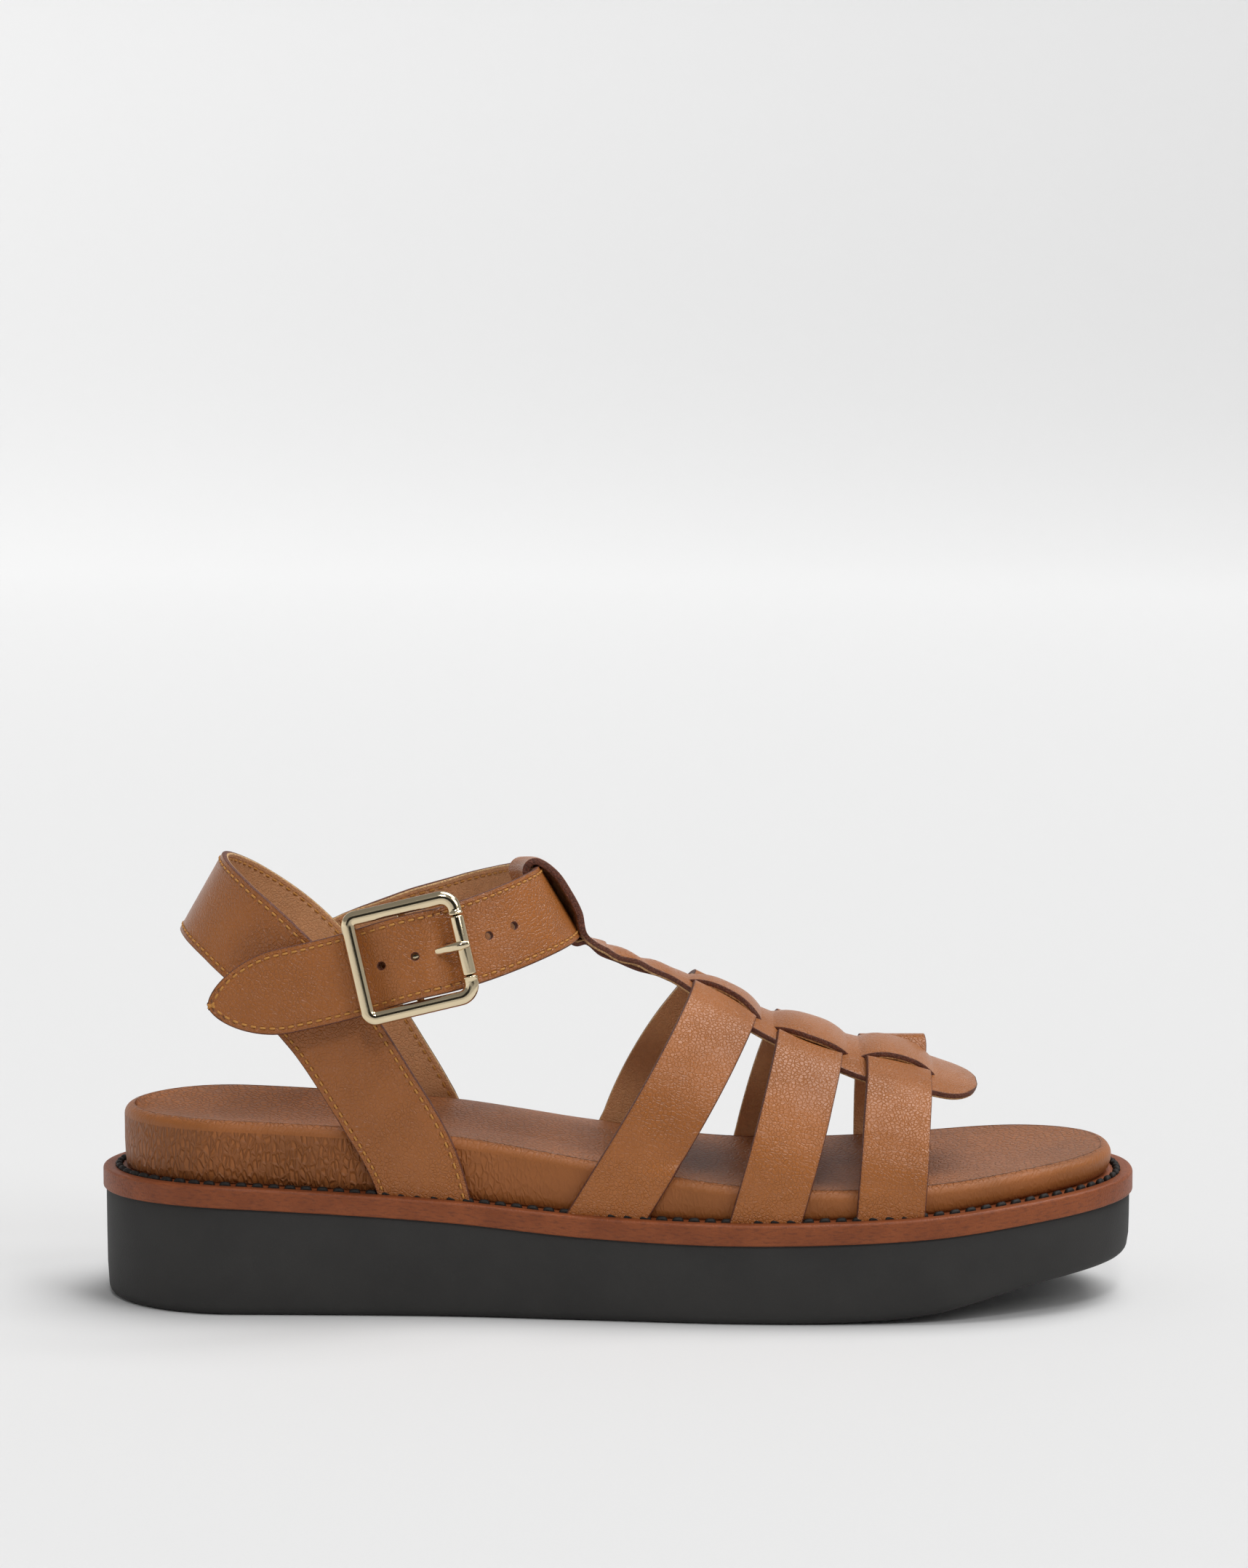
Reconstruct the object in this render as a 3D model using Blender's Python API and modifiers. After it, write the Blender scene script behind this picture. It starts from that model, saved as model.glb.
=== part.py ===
"""Fisherman sandal for the right foot, on a black platform sole.

Blender 4.5, metres, +Z up. The toe points along +X and the outer side of the foot faces -Y.
The origin is on the floor, under the middle of the sole. Every strap lies on one last: a foot
form worked out from the sole's outline, the footbed's rim and the height of the instep.
"""

import math

import bpy
import numpy as np
from mathutils import Matrix, Vector

MM = 0.001

# Sole
LENGTH = 265.0 * MM
BALL_WIDTH = 97.0 * MM
PLATFORM_HEIGHT = 27.8 * MM
TOE_SPRING = 11.5 * MM
HEEL_CURVE = 36.0 * MM
TOE_CURVE = 58.0 * MM
SOLE_EDGE_RADIUS = 1.8 * MM
SOLE_STEP = 0.8 * MM
SOLE_TAPER = 0.6 * MM
WELT_THICKNESS = 5.1 * MM
WELT_WIDTH = 13.0 * MM
WELT_EDGE = 0.7 * MM
FOOTBED_INSET = 5.6 * MM
FOOTBED_SIDE = 15.6 * MM
FOOTBED_EDGE_RADIUS = 2.4 * MM
FOOTBED_TUCK = 0.6 * MM
TUCK_HEIGHT = 0.9 * MM
HEEL_CUP = 4.2 * MM
ARCH_RISE = 3.4 * MM
SEAT_GAP = 0.3 * MM

# Upper
INSTEP_HEIGHT = 91.0 * MM
CREST_OFFSET = 5.0 * MM
STRAP_LEATHER = 1.8 * MM
BAND_WIDTHS = (18.0 * MM, 17.4 * MM, 17.0 * MM)
SPINE_WIDTH = 38.0 * MM
SPINE_OFFSET = -1.6 * MM
SLIT_MARGIN = 1.2 * MM
SEWN_OVERLAP = 0.6 * MM
LOOP_WIDTH = 14.5 * MM
LOOP_ROOM = 1.85 * MM
LOOP_GAP = 0.7 * MM
LOOP_PINCH = 0.35 * MM
LOOP_TOP_DROP = 0.8 * MM
NECK_START = 1.5 * MM
NECK_RUN = 3.0 * MM
LOOP_SPREAD = 9.0 * MM
LOOP_EASE = 7.0 * MM
TAIL_START = 2.5 * MM
TAIL_TURN = 3.0 * MM
TAIL_EXIT = 1.6 * MM
TAIL_FORWARD = 1.4 * MM
TAIL_DEPTH = 1.3 * MM
TAIL_THINNING = 0.4 * MM
TAIL_EASE = 10.0 * MM
HEEL_STRAP_WIDTH = 22.5 * MM
ANKLE_STRAP_WIDTH = 21.2 * MM
TIP_LENGTH = 19.0 * MM
STRAP_BULGE = 3.7 * MM
SLIT_OPENING = 0.75 * MM
NECK_PLACE = 0.487
NECK_HALF = 5.2 * MM
TAIL_HALF = 4.4 * MM
BAND_CROWN = 0.6 * MM
SLIT_CLIMB = 3.0 * MM
BAND_SETTLE = 16.0 * MM
BAND_WALL = 26.0 * MM
BAND_TOP = 24.0 * MM
STRAP_SPARE = 22.0 * MM
STRAP_CLEARANCE = 0.15 * MM
RIM_FADE = 9.0 * MM
RIM_RELEASE = 5.0 * MM
HEEL_STRAP_FREE = 34.0 * MM
BULGE_FLAT = 3.6 * MM
BULGE_FADE = 8.0 * MM
BULGE_REACH = 13.0 * MM
TIP_HALF = 0.9 * MM
HOLE_RADIUS = 0.9 * MM
HOLES = (-7.1 * MM, 1.2 * MM, 20.7 * MM, 28.3 * MM)

# Buckle
BUCKLE_LENGTH = 30.5 * MM
BUCKLE_BAR = 3.6 * MM
BUCKLE_THICKNESS = 2.6 * MM
FRAME_LIFT = 3.3 * MM
ROLLER_RADIUS = 1.9 * MM
BUCKLE_CORNER = 3.4 * MM
BUCKLE_BACK_CORNER = 2.4 * MM
BUCKLE_CLEARANCE = 0.4 * MM
CENTRE_BAR_RADIUS = 1.0 * MM
ROLLER_WALL = 0.6 * MM
PRONG_RADIUS = 1.15 * MM
PRONG_ROOT_RADIUS = 1.75 * MM
CHAPE_LEATHER = 0.75 * MM
CHAPE_WIDTH = 16.0 * MM
CHAPE_LENGTH = 26.0 * MM
CHAPE_LOOP_RADIUS = 1.75 * MM
CHAPE_DROP = -3.3 * MM
CHAPE_SLOT_BACK = 4.5 * MM
CHAPE_SLOT_HALF = 1.8 * MM
POST_FOOT = 0.6 * MM
POST_TURN = 2.2 * MM
POST_HEIGHT = 0.8 * MM
ROLLER_PLAY = 0.4 * MM
ROLLER_SHARE = 0.78
COLLAR_START = 0.80
COLLAR_END = 0.86

STATIONS = 40

# A row for each section of the sole: its place as a share of LENGTH, the half widths as
# shares of BALL_WIDTH, and the heights as shares of the sizes that they name.
SOLE_SECTIONS = (
    # place, lateral, medial, spring, platform, side
    (0.00, 0.362, 0.362, 0.00, 1.000, 1.00),
    (0.10, 0.368, 0.366, 0.00, 1.000, 1.00),
    (0.20, 0.374, 0.366, 0.00, 0.960, 1.00),
    (0.34, 0.392, 0.352, 0.00, 0.878, 0.98),
    (0.47, 0.440, 0.352, 0.00, 0.772, 0.83),
    (0.61, 0.491, 0.424, 0.00, 0.731, 0.54),
    (0.69, 0.500, 0.478, 0.02, 0.742, 0.45),
    (0.79, 0.488, 0.500, 0.17, 0.785, 0.43),
    (0.90, 0.452, 0.490, 0.74, 0.890, 0.44),
    (1.00, 0.420, 0.470, 1.00, 0.975, 0.43),
)
PLACE, LATERAL, MEDIAL, SPRING, PLATFORM, SIDE = range(6)

# The ridge of the last from the instep to the toes, as shares of LENGTH, INSTEP_HEIGHT and
# CREST_OFFSET.
CREST = (
    # place, height, offset
    (0.440, 1.020, 0.10),
    (0.486, 0.973, 0.10),
    (0.511, 0.942, 0.10),
    (0.533, 0.920, 0.12),
    (0.555, 0.895, 0.15),
    (0.587, 0.852, 0.20),
    (0.609, 0.822, 0.25),
    (0.645, 0.774, 0.35),
    (0.687, 0.729, 0.50),
    (0.726, 0.698, 0.80),
    (0.764, 0.670, 1.15),
    (0.825, 0.610, 1.40),
    (0.860, 0.572, 1.50),
)
CREST_PLACE, CREST_SHARE, OFFSET_SHARE = range(3)

# A row for each cross band: where its middle meets the welt on each side and where it
# crosses the ridge, as shares of LENGTH, the slope of its edges at the welt, on top and just
# past the spine on the medial side, how far its medial half bows back towards the heel, and
# how far it stands off the last past the spine, as a share of STRAP_LEATHER.
BANDS = (
    # lateral, crossing, medial, side_slope, top_slope, far_slope, bow, far_lift
    (0.490, 0.601, 0.508, 32.0, 27.0, 27.0, 1.55, 0.00),
    (0.640, 0.684, 0.644, 16.0, 19.0, 17.0, 1.15, 0.00),
    (0.758, 0.768, 0.768, 7.0, 16.5, 0.0, 1.00, 0.60),
)
BAND_LATERAL, BAND_CROSSING, BAND_MEDIAL, SIDE_SLOPE, TOP_SLOPE, FAR_SLOPE, BOW, FAR_LIFT = range(8)
FAR_START = 4.0 * MM
FAR_REACH = 9.0 * MM
FAR_FADE = 22.0 * MM

# Half width of the spine and how far its slits lie from its middle line, by place as a share
# of LENGTH, as shares of SPINE_WIDTH.
SPINE_SHAPE = (
    # place, half_width, slit
    (0.440, 0.150, 0.090),
    (0.500, 0.135, 0.080),
    (0.530, 0.138, 0.080),
    (0.555, 0.185, 0.090),
    (0.580, 0.275, 0.100),
    (0.610, 0.345, 0.125),
    (0.645, 0.410, 0.235),
    (0.675, 0.455, 0.315),
    (0.700, 0.490, 0.325),
    (0.735, 0.548, 0.280),
    (0.765, 0.552, 0.245),
    (0.800, 0.500, 0.235),
    (0.830, 0.460, 0.235),
)
SPINE_TIP = 0.846
TAB_ROUND = 0.040
TAIL_SLACK = 0.470
TAIL_PLACES = (0.484, 0.500, 0.520, 0.540)

# The heel strap's middle line from the lateral welt to the back of the heel: places as
# shares of LENGTH and of INSTEP_HEIGHT, and half widths as shares of ANKLE_WIDTH.
ANKLE_WIDTH = 61.8 * MM
HEEL_STRAP = (
    # place, half_width, height, tilt
    (0.325, 0.530, 0.220, 0.0),
    (0.308, 0.524, 0.410, 3.0),
    (0.265, 0.508, 0.633, 5.0),
    (0.225, 0.492, 0.808, 8.0),
    (0.170, 0.440, 0.982, 14.0),
    (0.130, 0.320, 1.076, 22.0),
    (0.105, 0.140, 1.128, 28.0),
    (0.100, 0.000, 1.138, 29.5),
)

# The ankle strap's middle line from its free tip, forward along the lateral side, round the
# front of the ankle and back to the seam on the medial side. Lateral is negative.
ANKLE_STRAP = (
    # place, half_width, height, tilt
    (0.112, -0.552, 0.868, 8.0),
    (0.172, -0.570, 0.905, 8.0),
    (0.240, -0.570, 0.951, 8.5),
    (0.293, -0.562, 0.996, 9.5),
    (0.336, -0.545, 1.025, 11.5),
    (0.365, -0.500, 1.047, 15.0),
    (0.400, -0.410, 1.078, 20.0),
    (0.434, -0.240, 1.110, 27.0),
    (0.440, 0.000, 1.113, 31.0),
    (0.422, 0.240, 1.096, 27.0),
    (0.393, 0.420, 1.066, 20.0),
    (0.360, 0.505, 1.038, 18.0),
    (0.310, 0.520, 1.000, 20.0),
    (0.262, 0.518, 0.948, 22.0),
    (0.215, 0.506, 0.885, 24.0),
)
PATH_PLACE, PATH_HALF_WIDTH, PATH_HEIGHT, PATH_TILT = range(4)
BUCKLE_PLACE = 0.3045
FRONT_ROW = 8


def clear_scene():
    """Removes what the startup file holds."""
    for obj in list(bpy.data.objects):
        bpy.data.objects.remove(obj, do_unlink=True)


def collection(name):
    """A new collection in the scene."""
    made = bpy.data.collections.new(name)
    bpy.context.scene.collection.children.link(made)
    return made


def material(name, colour, roughness, metallic=0.0):
    """A Principled material of one colour."""
    made = bpy.data.materials.new(name)
    made.use_nodes = True
    shader = made.node_tree.nodes["Principled BSDF"]
    shader.inputs["Base Color"].default_value = (*colour, 1.0)
    shader.inputs["Roughness"].default_value = roughness
    shader.inputs["Metallic"].default_value = metallic
    return made


def curve_through(xs, ys, x):
    """A smooth curve through (xs, ys), read at x: cubic pieces whose slope at each point is
    the mean of its two neighbours' slopes, and straight beyond the ends."""
    xs = np.asarray(xs, float)
    ys = np.asarray(ys, float)
    x = np.asarray(x, float)
    slopes = np.gradient(ys, xs)
    k = np.clip(np.searchsorted(xs, x) - 1, 0, len(xs) - 2)
    step = xs[k + 1] - xs[k]
    t = np.clip((x - xs[k]) / step, 0.0, 1.0)
    rise = (2 * t**3 - 3 * t**2 + 1) * ys[k] + (3 * t**2 - 2 * t**3) * ys[k + 1]
    bend = (t**3 - 2 * t**2 + t) * slopes[k] + (t**3 - t**2) * slopes[k + 1]
    beyond = np.minimum(x - xs[0], 0.0) * slopes[0] + np.maximum(x - xs[-1], 0.0) * slopes[-1]
    return rise + bend * step + beyond


def column(table, index):
    """One named column of a table, as an array."""
    return np.array([row[index] for row in table], float)


def sole_column(index, x):
    """A column of SOLE_SECTIONS, read at the distance x from the origin."""
    return curve_through(column(SOLE_SECTIONS, PLACE), column(SOLE_SECTIONS, index), x / LENGTH + 0.5)


def place_to_x(place):
    """A share of the length, counted from the heel, as a distance from the origin."""
    return (np.asarray(place, float) - 0.5) * LENGTH


def half_width(side, x):
    """Half width of the welt at x: the table's width, rounded off to nothing at heel and toe."""
    from_heel = np.clip((x + LENGTH / 2) / HEEL_CURVE, 0.0, 1.0)
    from_toe = np.clip((LENGTH / 2 - x) / TOE_CURVE, 0.0, 1.0)
    heel = (1 - (1 - from_heel) ** 2.0) ** (1 / 2.0)
    toe = (1 - (1 - from_toe) ** 2.3) ** (1 / 2.3)
    return sole_column(side, x) * BALL_WIDTH * heel * toe


def bottom_height(x):
    """Height of the tread over the floor: nothing up to the ball, then the toe spring."""
    return np.maximum(sole_column(SPRING, x), 0.0) * TOE_SPRING


def platform_top(x):
    """Height of the outsole's upper face."""
    return sole_column(PLATFORM, x) * PLATFORM_HEIGHT


def welt_top(x):
    """Height of the welt's upper face."""
    return platform_top(x) + SEAT_GAP + WELT_THICKNESS


def rim_height(x):
    """Height of the footbed's upper edge."""
    return welt_top(x) + SEAT_GAP + sole_column(SIDE, x) * FOOTBED_SIDE


def outline(inset):
    """The sole's outline, moved inwards by inset: heel to toe on the lateral side, then back
    on the medial side. The stations crowd at both ends, where the outline turns."""
    turn = np.linspace(0.0, math.pi, STATIONS + 1)
    x = -np.cos(turn) * LENGTH / 2
    lateral = np.column_stack([x, -half_width(LATERAL, x)])
    medial = np.column_stack([x, half_width(MEDIAL, x)])[-2:0:-1]
    points = np.vstack([lateral, medial])
    along = np.roll(points, -1, axis=0) - np.roll(points, 1, axis=0)
    along /= np.linalg.norm(along, axis=1)[:, None]
    inwards = np.column_stack([-along[:, 1], along[:, 0]])
    return points + inwards * inset


def mesh_object(name, points, faces, look, home):
    """A mesh object from arrays."""
    mesh = bpy.data.meshes.new(name)
    mesh.from_pydata([tuple(p) for p in points], [], [tuple(f) for f in faces])
    mesh.update()
    mesh.shade_smooth()
    mesh.set_sharp_from_angle(angle=math.radians(35))
    made = bpy.data.objects.new(name, mesh)
    if look:
        made.data.materials.append(look)
    home.objects.link(made)
    return made


def ring_faces(first, second, count):
    """Quads between two rings of points that start at the indices first and second."""
    return [
        (first + i, first + (i + 1) % count, second + (i + 1) % count, second + i)
        for i in range(count)
    ]


def cap_points(ring, height, ribs):
    """Points of a surface stretched across a ring: ribs straight across from each lateral
    point to the medial one opposite, raised by height(x, share across)."""
    count = len(ring)
    rows = []
    for i in range(1, STATIONS):
        a, b = ring[i], ring[(count - i) % count]
        for share in np.linspace(0.0, 1.0, ribs + 1)[1:-1]:
            x, y = a + (b - a) * share
            rows.append((x, y, float(height(x, share))))
    return rows


def cap_faces(start, inner, ribs, upwards):
    """Faces of that surface: start is the ring's first index and inner that of its points."""
    count = 2 * STATIONS

    def index(i, j):
        if i in (0, STATIONS):
            return start + i
        if j == 0:
            return start + i
        if j == ribs:
            return start + (count - i) % count
        return inner + (i - 1) * (ribs - 1) + j - 1

    faces = []
    for i in range(STATIONS):
        for j in range(ribs):
            corners = [index(i, j), index(i + 1, j), index(i + 1, j + 1), index(i, j + 1)]
            face = list(dict.fromkeys(corners))
            faces.append(face if upwards else face[::-1])
    return faces


def flat_cap(height):
    """A cap that only follows the length."""
    return lambda x, share: height(x)


def layered_solid(name, layers, bottom, top, ribs, look, home):
    """A solid whose walls are layers, each an inset of the outline and a height along x."""
    rings = [(outline(inset), height) for inset, height in layers]
    points = []
    for ring, height in rings:
        points += [(x, y, float(height(x))) for x, y in ring]
    count = 2 * STATIONS
    faces = []
    for k in range(len(rings) - 1):
        faces += ring_faces(k * count, (k + 1) * count, count)
    inner = len(points)
    points += cap_points(rings[0][0], bottom, ribs)
    faces += cap_faces(0, inner, ribs, upwards=False)
    inner = len(points)
    points += cap_points(rings[-1][0], top, ribs)
    faces += cap_faces((len(rings) - 1) * count, inner, ribs, upwards=True)
    return mesh_object(name, points, faces, look, home)


def between(low, high, share):
    """A height function at a share of the way from low(x) to high(x)."""
    return lambda x: low(x) + (high(x) - low(x)) * share


def above(height, rise):
    """A height function raised by rise."""
    return lambda x: height(x) + rise


def build_outsole(look, home):
    """The platform: rounded under the edge, flat from heel to ball, sprung at the toe."""
    radius = SOLE_EDGE_RADIUS
    layers = []
    for angle in np.radians((0, 30, 60, 90)):
        inset = SOLE_STEP + SOLE_TAPER + radius * (1 - math.sin(angle))
        layers.append((inset, above(bottom_height, radius * (1 - math.cos(angle)))))
    layers.append((SOLE_STEP + SOLE_TAPER / 3, between(bottom_height, platform_top, 0.55)))
    layers.append((SOLE_STEP, platform_top))
    return layered_solid(
        "outsole", layers, flat_cap(bottom_height), flat_cap(platform_top), 4, look, home
    )


def build_welt(look, home):
    """The welt: a leather ring between the platform and the footbed, with broken edges."""
    low = above(platform_top, SEAT_GAP)
    section = (
        (WELT_WIDTH, low),
        (WELT_EDGE, low),
        (0.0, above(low, WELT_EDGE)),
        (0.0, above(welt_top, -WELT_EDGE)),
        (WELT_EDGE, welt_top),
        (WELT_WIDTH, welt_top),
    )
    points = []
    for inset, height in section:
        points += [(x, y, float(height(x))) for x, y in outline(inset)]
    count = 2 * STATIONS
    faces = []
    for k in range(len(section)):
        faces += ring_faces(k * count, ((k + 1) % len(section)) * count, count)
    return mesh_object("welt", points, faces, look, home)


def footbed_top(x, share):
    """The footbed's upper face: dished in the heel and the ball, raised under the arch."""
    place = x / LENGTH + 0.5
    across = 2 * share - 1
    dish = 1 - across**2
    heel = HEEL_CUP * math.exp(-(((place - 0.17) / 0.15) ** 2))
    ball = 0.45 * HEEL_CUP * math.exp(-(((place - 0.68) / 0.12) ** 2))
    toes = 0.25 * HEEL_CUP * math.exp(-(((place - 0.88) / 0.07) ** 2))
    arch = ARCH_RISE * math.exp(-(((place - 0.42) / 0.10) ** 2))
    lift = arch * dish * (0.35 + 0.65 * max(across, -0.4))
    return rim_height(x) - (heel + ball + toes) * dish**1.3 + lift


def build_footbed(look, home):
    """The footbed: a plug that fills the welt's ring, a step out over the welt, an upright
    side and a rounded rim round the shaped upper face."""
    seat = above(platform_top, SEAT_GAP)
    ledge = above(welt_top, SEAT_GAP)
    plug = WELT_WIDTH + SEAT_GAP
    radius = FOOTBED_EDGE_RADIUS
    layers = [(plug, seat), (plug, ledge), (FOOTBED_INSET + FOOTBED_TUCK, ledge)]
    layers.append((FOOTBED_INSET, above(ledge, TUCK_HEIGHT)))
    for angle in np.radians((0, 30, 60, 90)):
        inset = FOOTBED_INSET + radius * (1 - math.cos(angle))
        layers.append((inset, above(rim_height, radius * (math.sin(angle) - 1))))
    return layered_solid("footbed", layers, flat_cap(seat), footbed_top, 6, look, home)


def crest_column(index, x):
    """A column of CREST, read at the distance x from the origin."""
    return curve_through(column(CREST, CREST_PLACE), column(CREST, index), x / LENGTH + 0.5)


def crest_height(x):
    """Height of the last's ridge."""
    return INSTEP_HEIGHT * crest_column(CREST_SHARE, x)


def crest_offset(x):
    """How far the last's ridge lies to the medial side."""
    return CREST_OFFSET * crest_column(OFFSET_SHARE, x)


def footbed_half(side, x):
    """Half width of the footbed at x, with the gap to the straps beside it."""
    return half_width(side, x) - FOOTBED_INSET + SEAT_GAP


def last_point(x, turn):
    """A point of the last's skin: turn is 0 at the lateral rim, 90 degrees on the ridge and
    180 at the medial rim. Each side is a quarter of an ellipse."""
    lateral = footbed_half(LATERAL, x) + crest_offset(x)
    medial = footbed_half(MEDIAL, x) - crest_offset(x)
    reach = np.where(turn < math.pi / 2, lateral, medial)
    rise = crest_height(x) - rim_height(x)
    y = crest_offset(x) - reach * np.cos(turn)
    z = rim_height(x) + rise * np.sin(turn)
    return y, z


def last_drop(x, y):
    """How far the last's skin lies below its ridge at a distance y from the middle."""
    offset = crest_offset(x)
    lateral = footbed_half(LATERAL, x) + offset
    medial = footbed_half(MEDIAL, x) - offset
    share = np.clip(np.abs(y - offset) / np.where(y < offset, lateral, medial), 0.0, 0.98)
    return (crest_height(x) - rim_height(x)) * (1 - np.sqrt(1 - share**2))


def unit(vectors):
    """Each row at length one."""
    return vectors / np.linalg.norm(vectors, axis=1)[:, None]


def lengths_along(points):
    """The distance along a line at each of its points."""
    steps = np.linalg.norm(np.diff(points, axis=0), axis=1)
    return np.concatenate([[0.0], np.cumsum(steps)])


def read_along(points, lengths, at):
    """The line's points at the given distances."""
    return np.column_stack([np.interp(at, lengths, points[:, k]) for k in range(3)])


def smooth_step(t):
    """0 below 0, 1 above 1, and soft between."""
    t = np.clip(t, 0.0, 1.0)
    return t * t * (3 - 2 * t)


def strip_object(name, grid, thickness, look, home):
    """A strap: an open surface of rows and columns with Solidify round its middle."""
    rows, columns = grid.shape[:2]
    faces = [
        (i * columns + j, (i + 1) * columns + j, (i + 1) * columns + j + 1, i * columns + j + 1)
        for i in range(rows - 1)
        for j in range(columns - 1)
    ]
    made = mesh_object(name, grid.reshape(-1, 3), faces, look, home)
    shell = made.modifiers.new("thickness", "SOLIDIFY")
    shell.thickness = thickness
    shell.offset = 0.0
    return made


def band_path(band):
    """The middle line of a band on the last: it leans with its height between the welt and
    the ridge. Returns points from below the lateral welt to below the medial welt."""
    turn = np.linspace(0.0, math.pi, 181)
    lateral = turn < math.pi / 2
    foot = np.where(lateral, place_to_x(band[BAND_LATERAL]), place_to_x(band[BAND_MEDIAL]))
    top = place_to_x(band[BAND_CROSSING])
    low = welt_top(foot)
    x = np.full_like(turn, top)
    for _ in range(12):
        y, z = last_point(x, turn)
        share = np.clip((z - low) / (crest_height(top) - low), 0.0, 1.0)
        x = foot + (top - foot) * np.where(lateral, share, share ** band[BOW])
    y, z = last_point(x, turn)
    skin = np.column_stack([x, y, z])
    ends = []
    for edge, sign in ((skin[0], -1), (skin[-1], 1)):
        foot_x = place_to_x(band[BAND_LATERAL] if sign < 0 else band[BAND_MEDIAL])
        slope = (top - foot_x) / (crest_height(top) - welt_top(foot_x))
        side = LATERAL if sign < 0 else MEDIAL
        drops = np.linspace(BAND_WALL, STRAP_LEATHER, 10)
        xs = edge[0] - slope * drops
        ends.append(np.column_stack([xs, sign * footbed_half(side, xs), edge[2] - drops]))
    return np.vstack([ends[0], skin, ends[1][::-1]])


def frame_along(points, across):
    """Unit directions along a line, across the strap and out of its outer face."""
    along = unit(np.gradient(points, axis=0))
    across = across - along * np.sum(across * along, axis=1)[:, None]
    across = unit(across)
    return along, across, unit(np.cross(across, along))


def clipped_rows(strap, rows, width, columns, free=25.0 * MM):
    """Reads strap(distance, offset across) on rows and columns. Each column ends where it
    meets the welt, and the shift that this takes fades out over the strap's length."""
    grid = np.empty((len(rows), columns, 3))
    for j, offset in enumerate(np.linspace(-width / 2, width / 2, columns)):
        dense = np.linspace(rows[0] - STRAP_SPARE, rows[-1] + STRAP_SPARE, 500)
        line = strap(dense, offset)
        clear = line[:, 2] - welt_top(line[:, 0]) - SEAT_GAP
        half = len(dense) // 2
        first = np.interp(0.0, clear[:half], dense[:half])
        last = np.interp(0.0, clear[half:][::-1], dense[half:][::-1])
        lead = np.clip((-free - rows) / (-free - rows[0]), 0.0, 1.0)
        tail = np.clip((rows - free) / (rows[-1] - free), 0.0, 1.0)
        at = rows + (first - rows[0]) * lead + (last - rows[-1]) * tail
        grid[:, j] = strap(at, offset)
    return grid


def clear_of_footbed(grid):
    """Pushes a strap's middle surface out until its inner face clears the footbed's side. The
    push fades out over a few millimetres above the footbed's rim."""
    x, y, z = grid[..., 0], grid[..., 1], grid[..., 2]
    limit = np.where(y < 0, footbed_half(LATERAL, x), footbed_half(MEDIAL, x)) + STRAP_LEATHER / 2
    limit = limit + STRAP_CLEARANCE
    over = np.clip((z - rim_height(x) + RIM_FADE / 9) / RIM_FADE, 0.0, 1.0)
    limit = limit - RIM_RELEASE * over**2
    pushed = np.sign(y) * np.maximum(np.abs(y), limit)
    grid[..., 1] = np.where(over < 1.0, pushed, y)
    return grid


def slit_place(x):
    """How far the slits lie from the spine's middle line: they part towards the toes."""
    return SPINE_WIDTH * curve_through(column(SPINE_SHAPE, 0), column(SPINE_SHAPE, 2), x / LENGTH + 0.5)


def slit_climb(past):
    """How far a band has climbed out at a distance past the slit: 0 at the slit and 1 over the
    margin. The margin's inner edge is pushed down to match."""
    return smooth_step((past + 0.1 * SLIT_CLIMB) / SLIT_CLIMB)


def band_rise(distance, offset, band, half):
    """How far a band stands off the last: nothing under the spine's middle, one leather over
    the spine's margins, and back down to the last beyond them. Its edges are pressed down
    where it crosses, and it may stand off a little past the spine on the medial side."""
    away = np.abs(distance - SPINE_OFFSET)
    crossing = place_to_x(band[BAND_CROSSING])
    slit = slit_place(crossing + offset * math.cos(math.radians(band[TOP_SLOPE])))
    down = smooth_step((away - float(spine_half(crossing)) - SLIT_MARGIN) / BAND_SETTLE)
    climb = (STRAP_LEATHER - SEWN_OVERLAP) * slit_climb(away - slit) * (1 - down)
    crown = BAND_CROWN * (offset / half) ** 2
    crown = crown * (1 - smooth_step(away / (slit + 2 * SLIT_CLIMB)))
    past = smooth_step((distance - FAR_START) / FAR_REACH)
    past = past * (1 - smooth_step((distance - FAR_FADE) / FAR_FADE))
    return climb - crown + band[FAR_LIFT] * STRAP_LEATHER * past


def band_solid(number, look, home):
    """One cross band: a strap that follows the last and dives under the spine's middle."""
    band = BANDS[number]
    width = BAND_WIDTHS[number]
    points = band_path(band)
    lengths = lengths_along(points)
    middle = np.interp(0.0, points[40:-40, 1], lengths[40:-40])
    height = (points[:, 2] - welt_top(points[:, 0])) / (points[:, 2].max() - welt_top(points[0, 0]))
    past = smooth_step((points[:, 1] - FAR_START) / FAR_REACH)
    on_top = band[TOP_SLOPE] + (band[FAR_SLOPE] - band[TOP_SLOPE]) * past
    slope = np.radians(band[SIDE_SLOPE] + (on_top - band[SIDE_SLOPE]) * smooth_step(height))
    ruling = np.column_stack([np.cos(slope), np.zeros(len(slope)), -np.sin(slope)])
    _, across, outward = frame_along(points, ruling)

    def strap(distance, offset):
        at = distance + middle
        base = read_along(points, lengths, at)
        sideways = read_along(across, lengths, at)
        out = unit(read_along(outward, lengths, at))
        rise = STRAP_LEATHER / 2 + band_rise(distance, offset, band, width / 2)
        return base + sideways * offset + out * np.asarray(rise)[:, None]

    clear = points[:, 2] - welt_top(points[:, 0]) - SEAT_GAP
    start = np.interp(0.0, clear[:80], lengths[:80]) - middle
    end = np.interp(0.0, clear[-80:][::-1], lengths[-80:][::-1]) - middle
    rows = np.concatenate([
        np.linspace(start, -BAND_TOP, 9)[:-1],
        np.linspace(-BAND_TOP, BAND_TOP, 29),
        np.linspace(BAND_TOP, end, 9)[1:],
    ])
    grid = clear_of_footbed(clipped_rows(strap, rows, width, 3))
    return strip_object("band_%d" % (number + 1), grid, STRAP_LEATHER, look, home)


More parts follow.
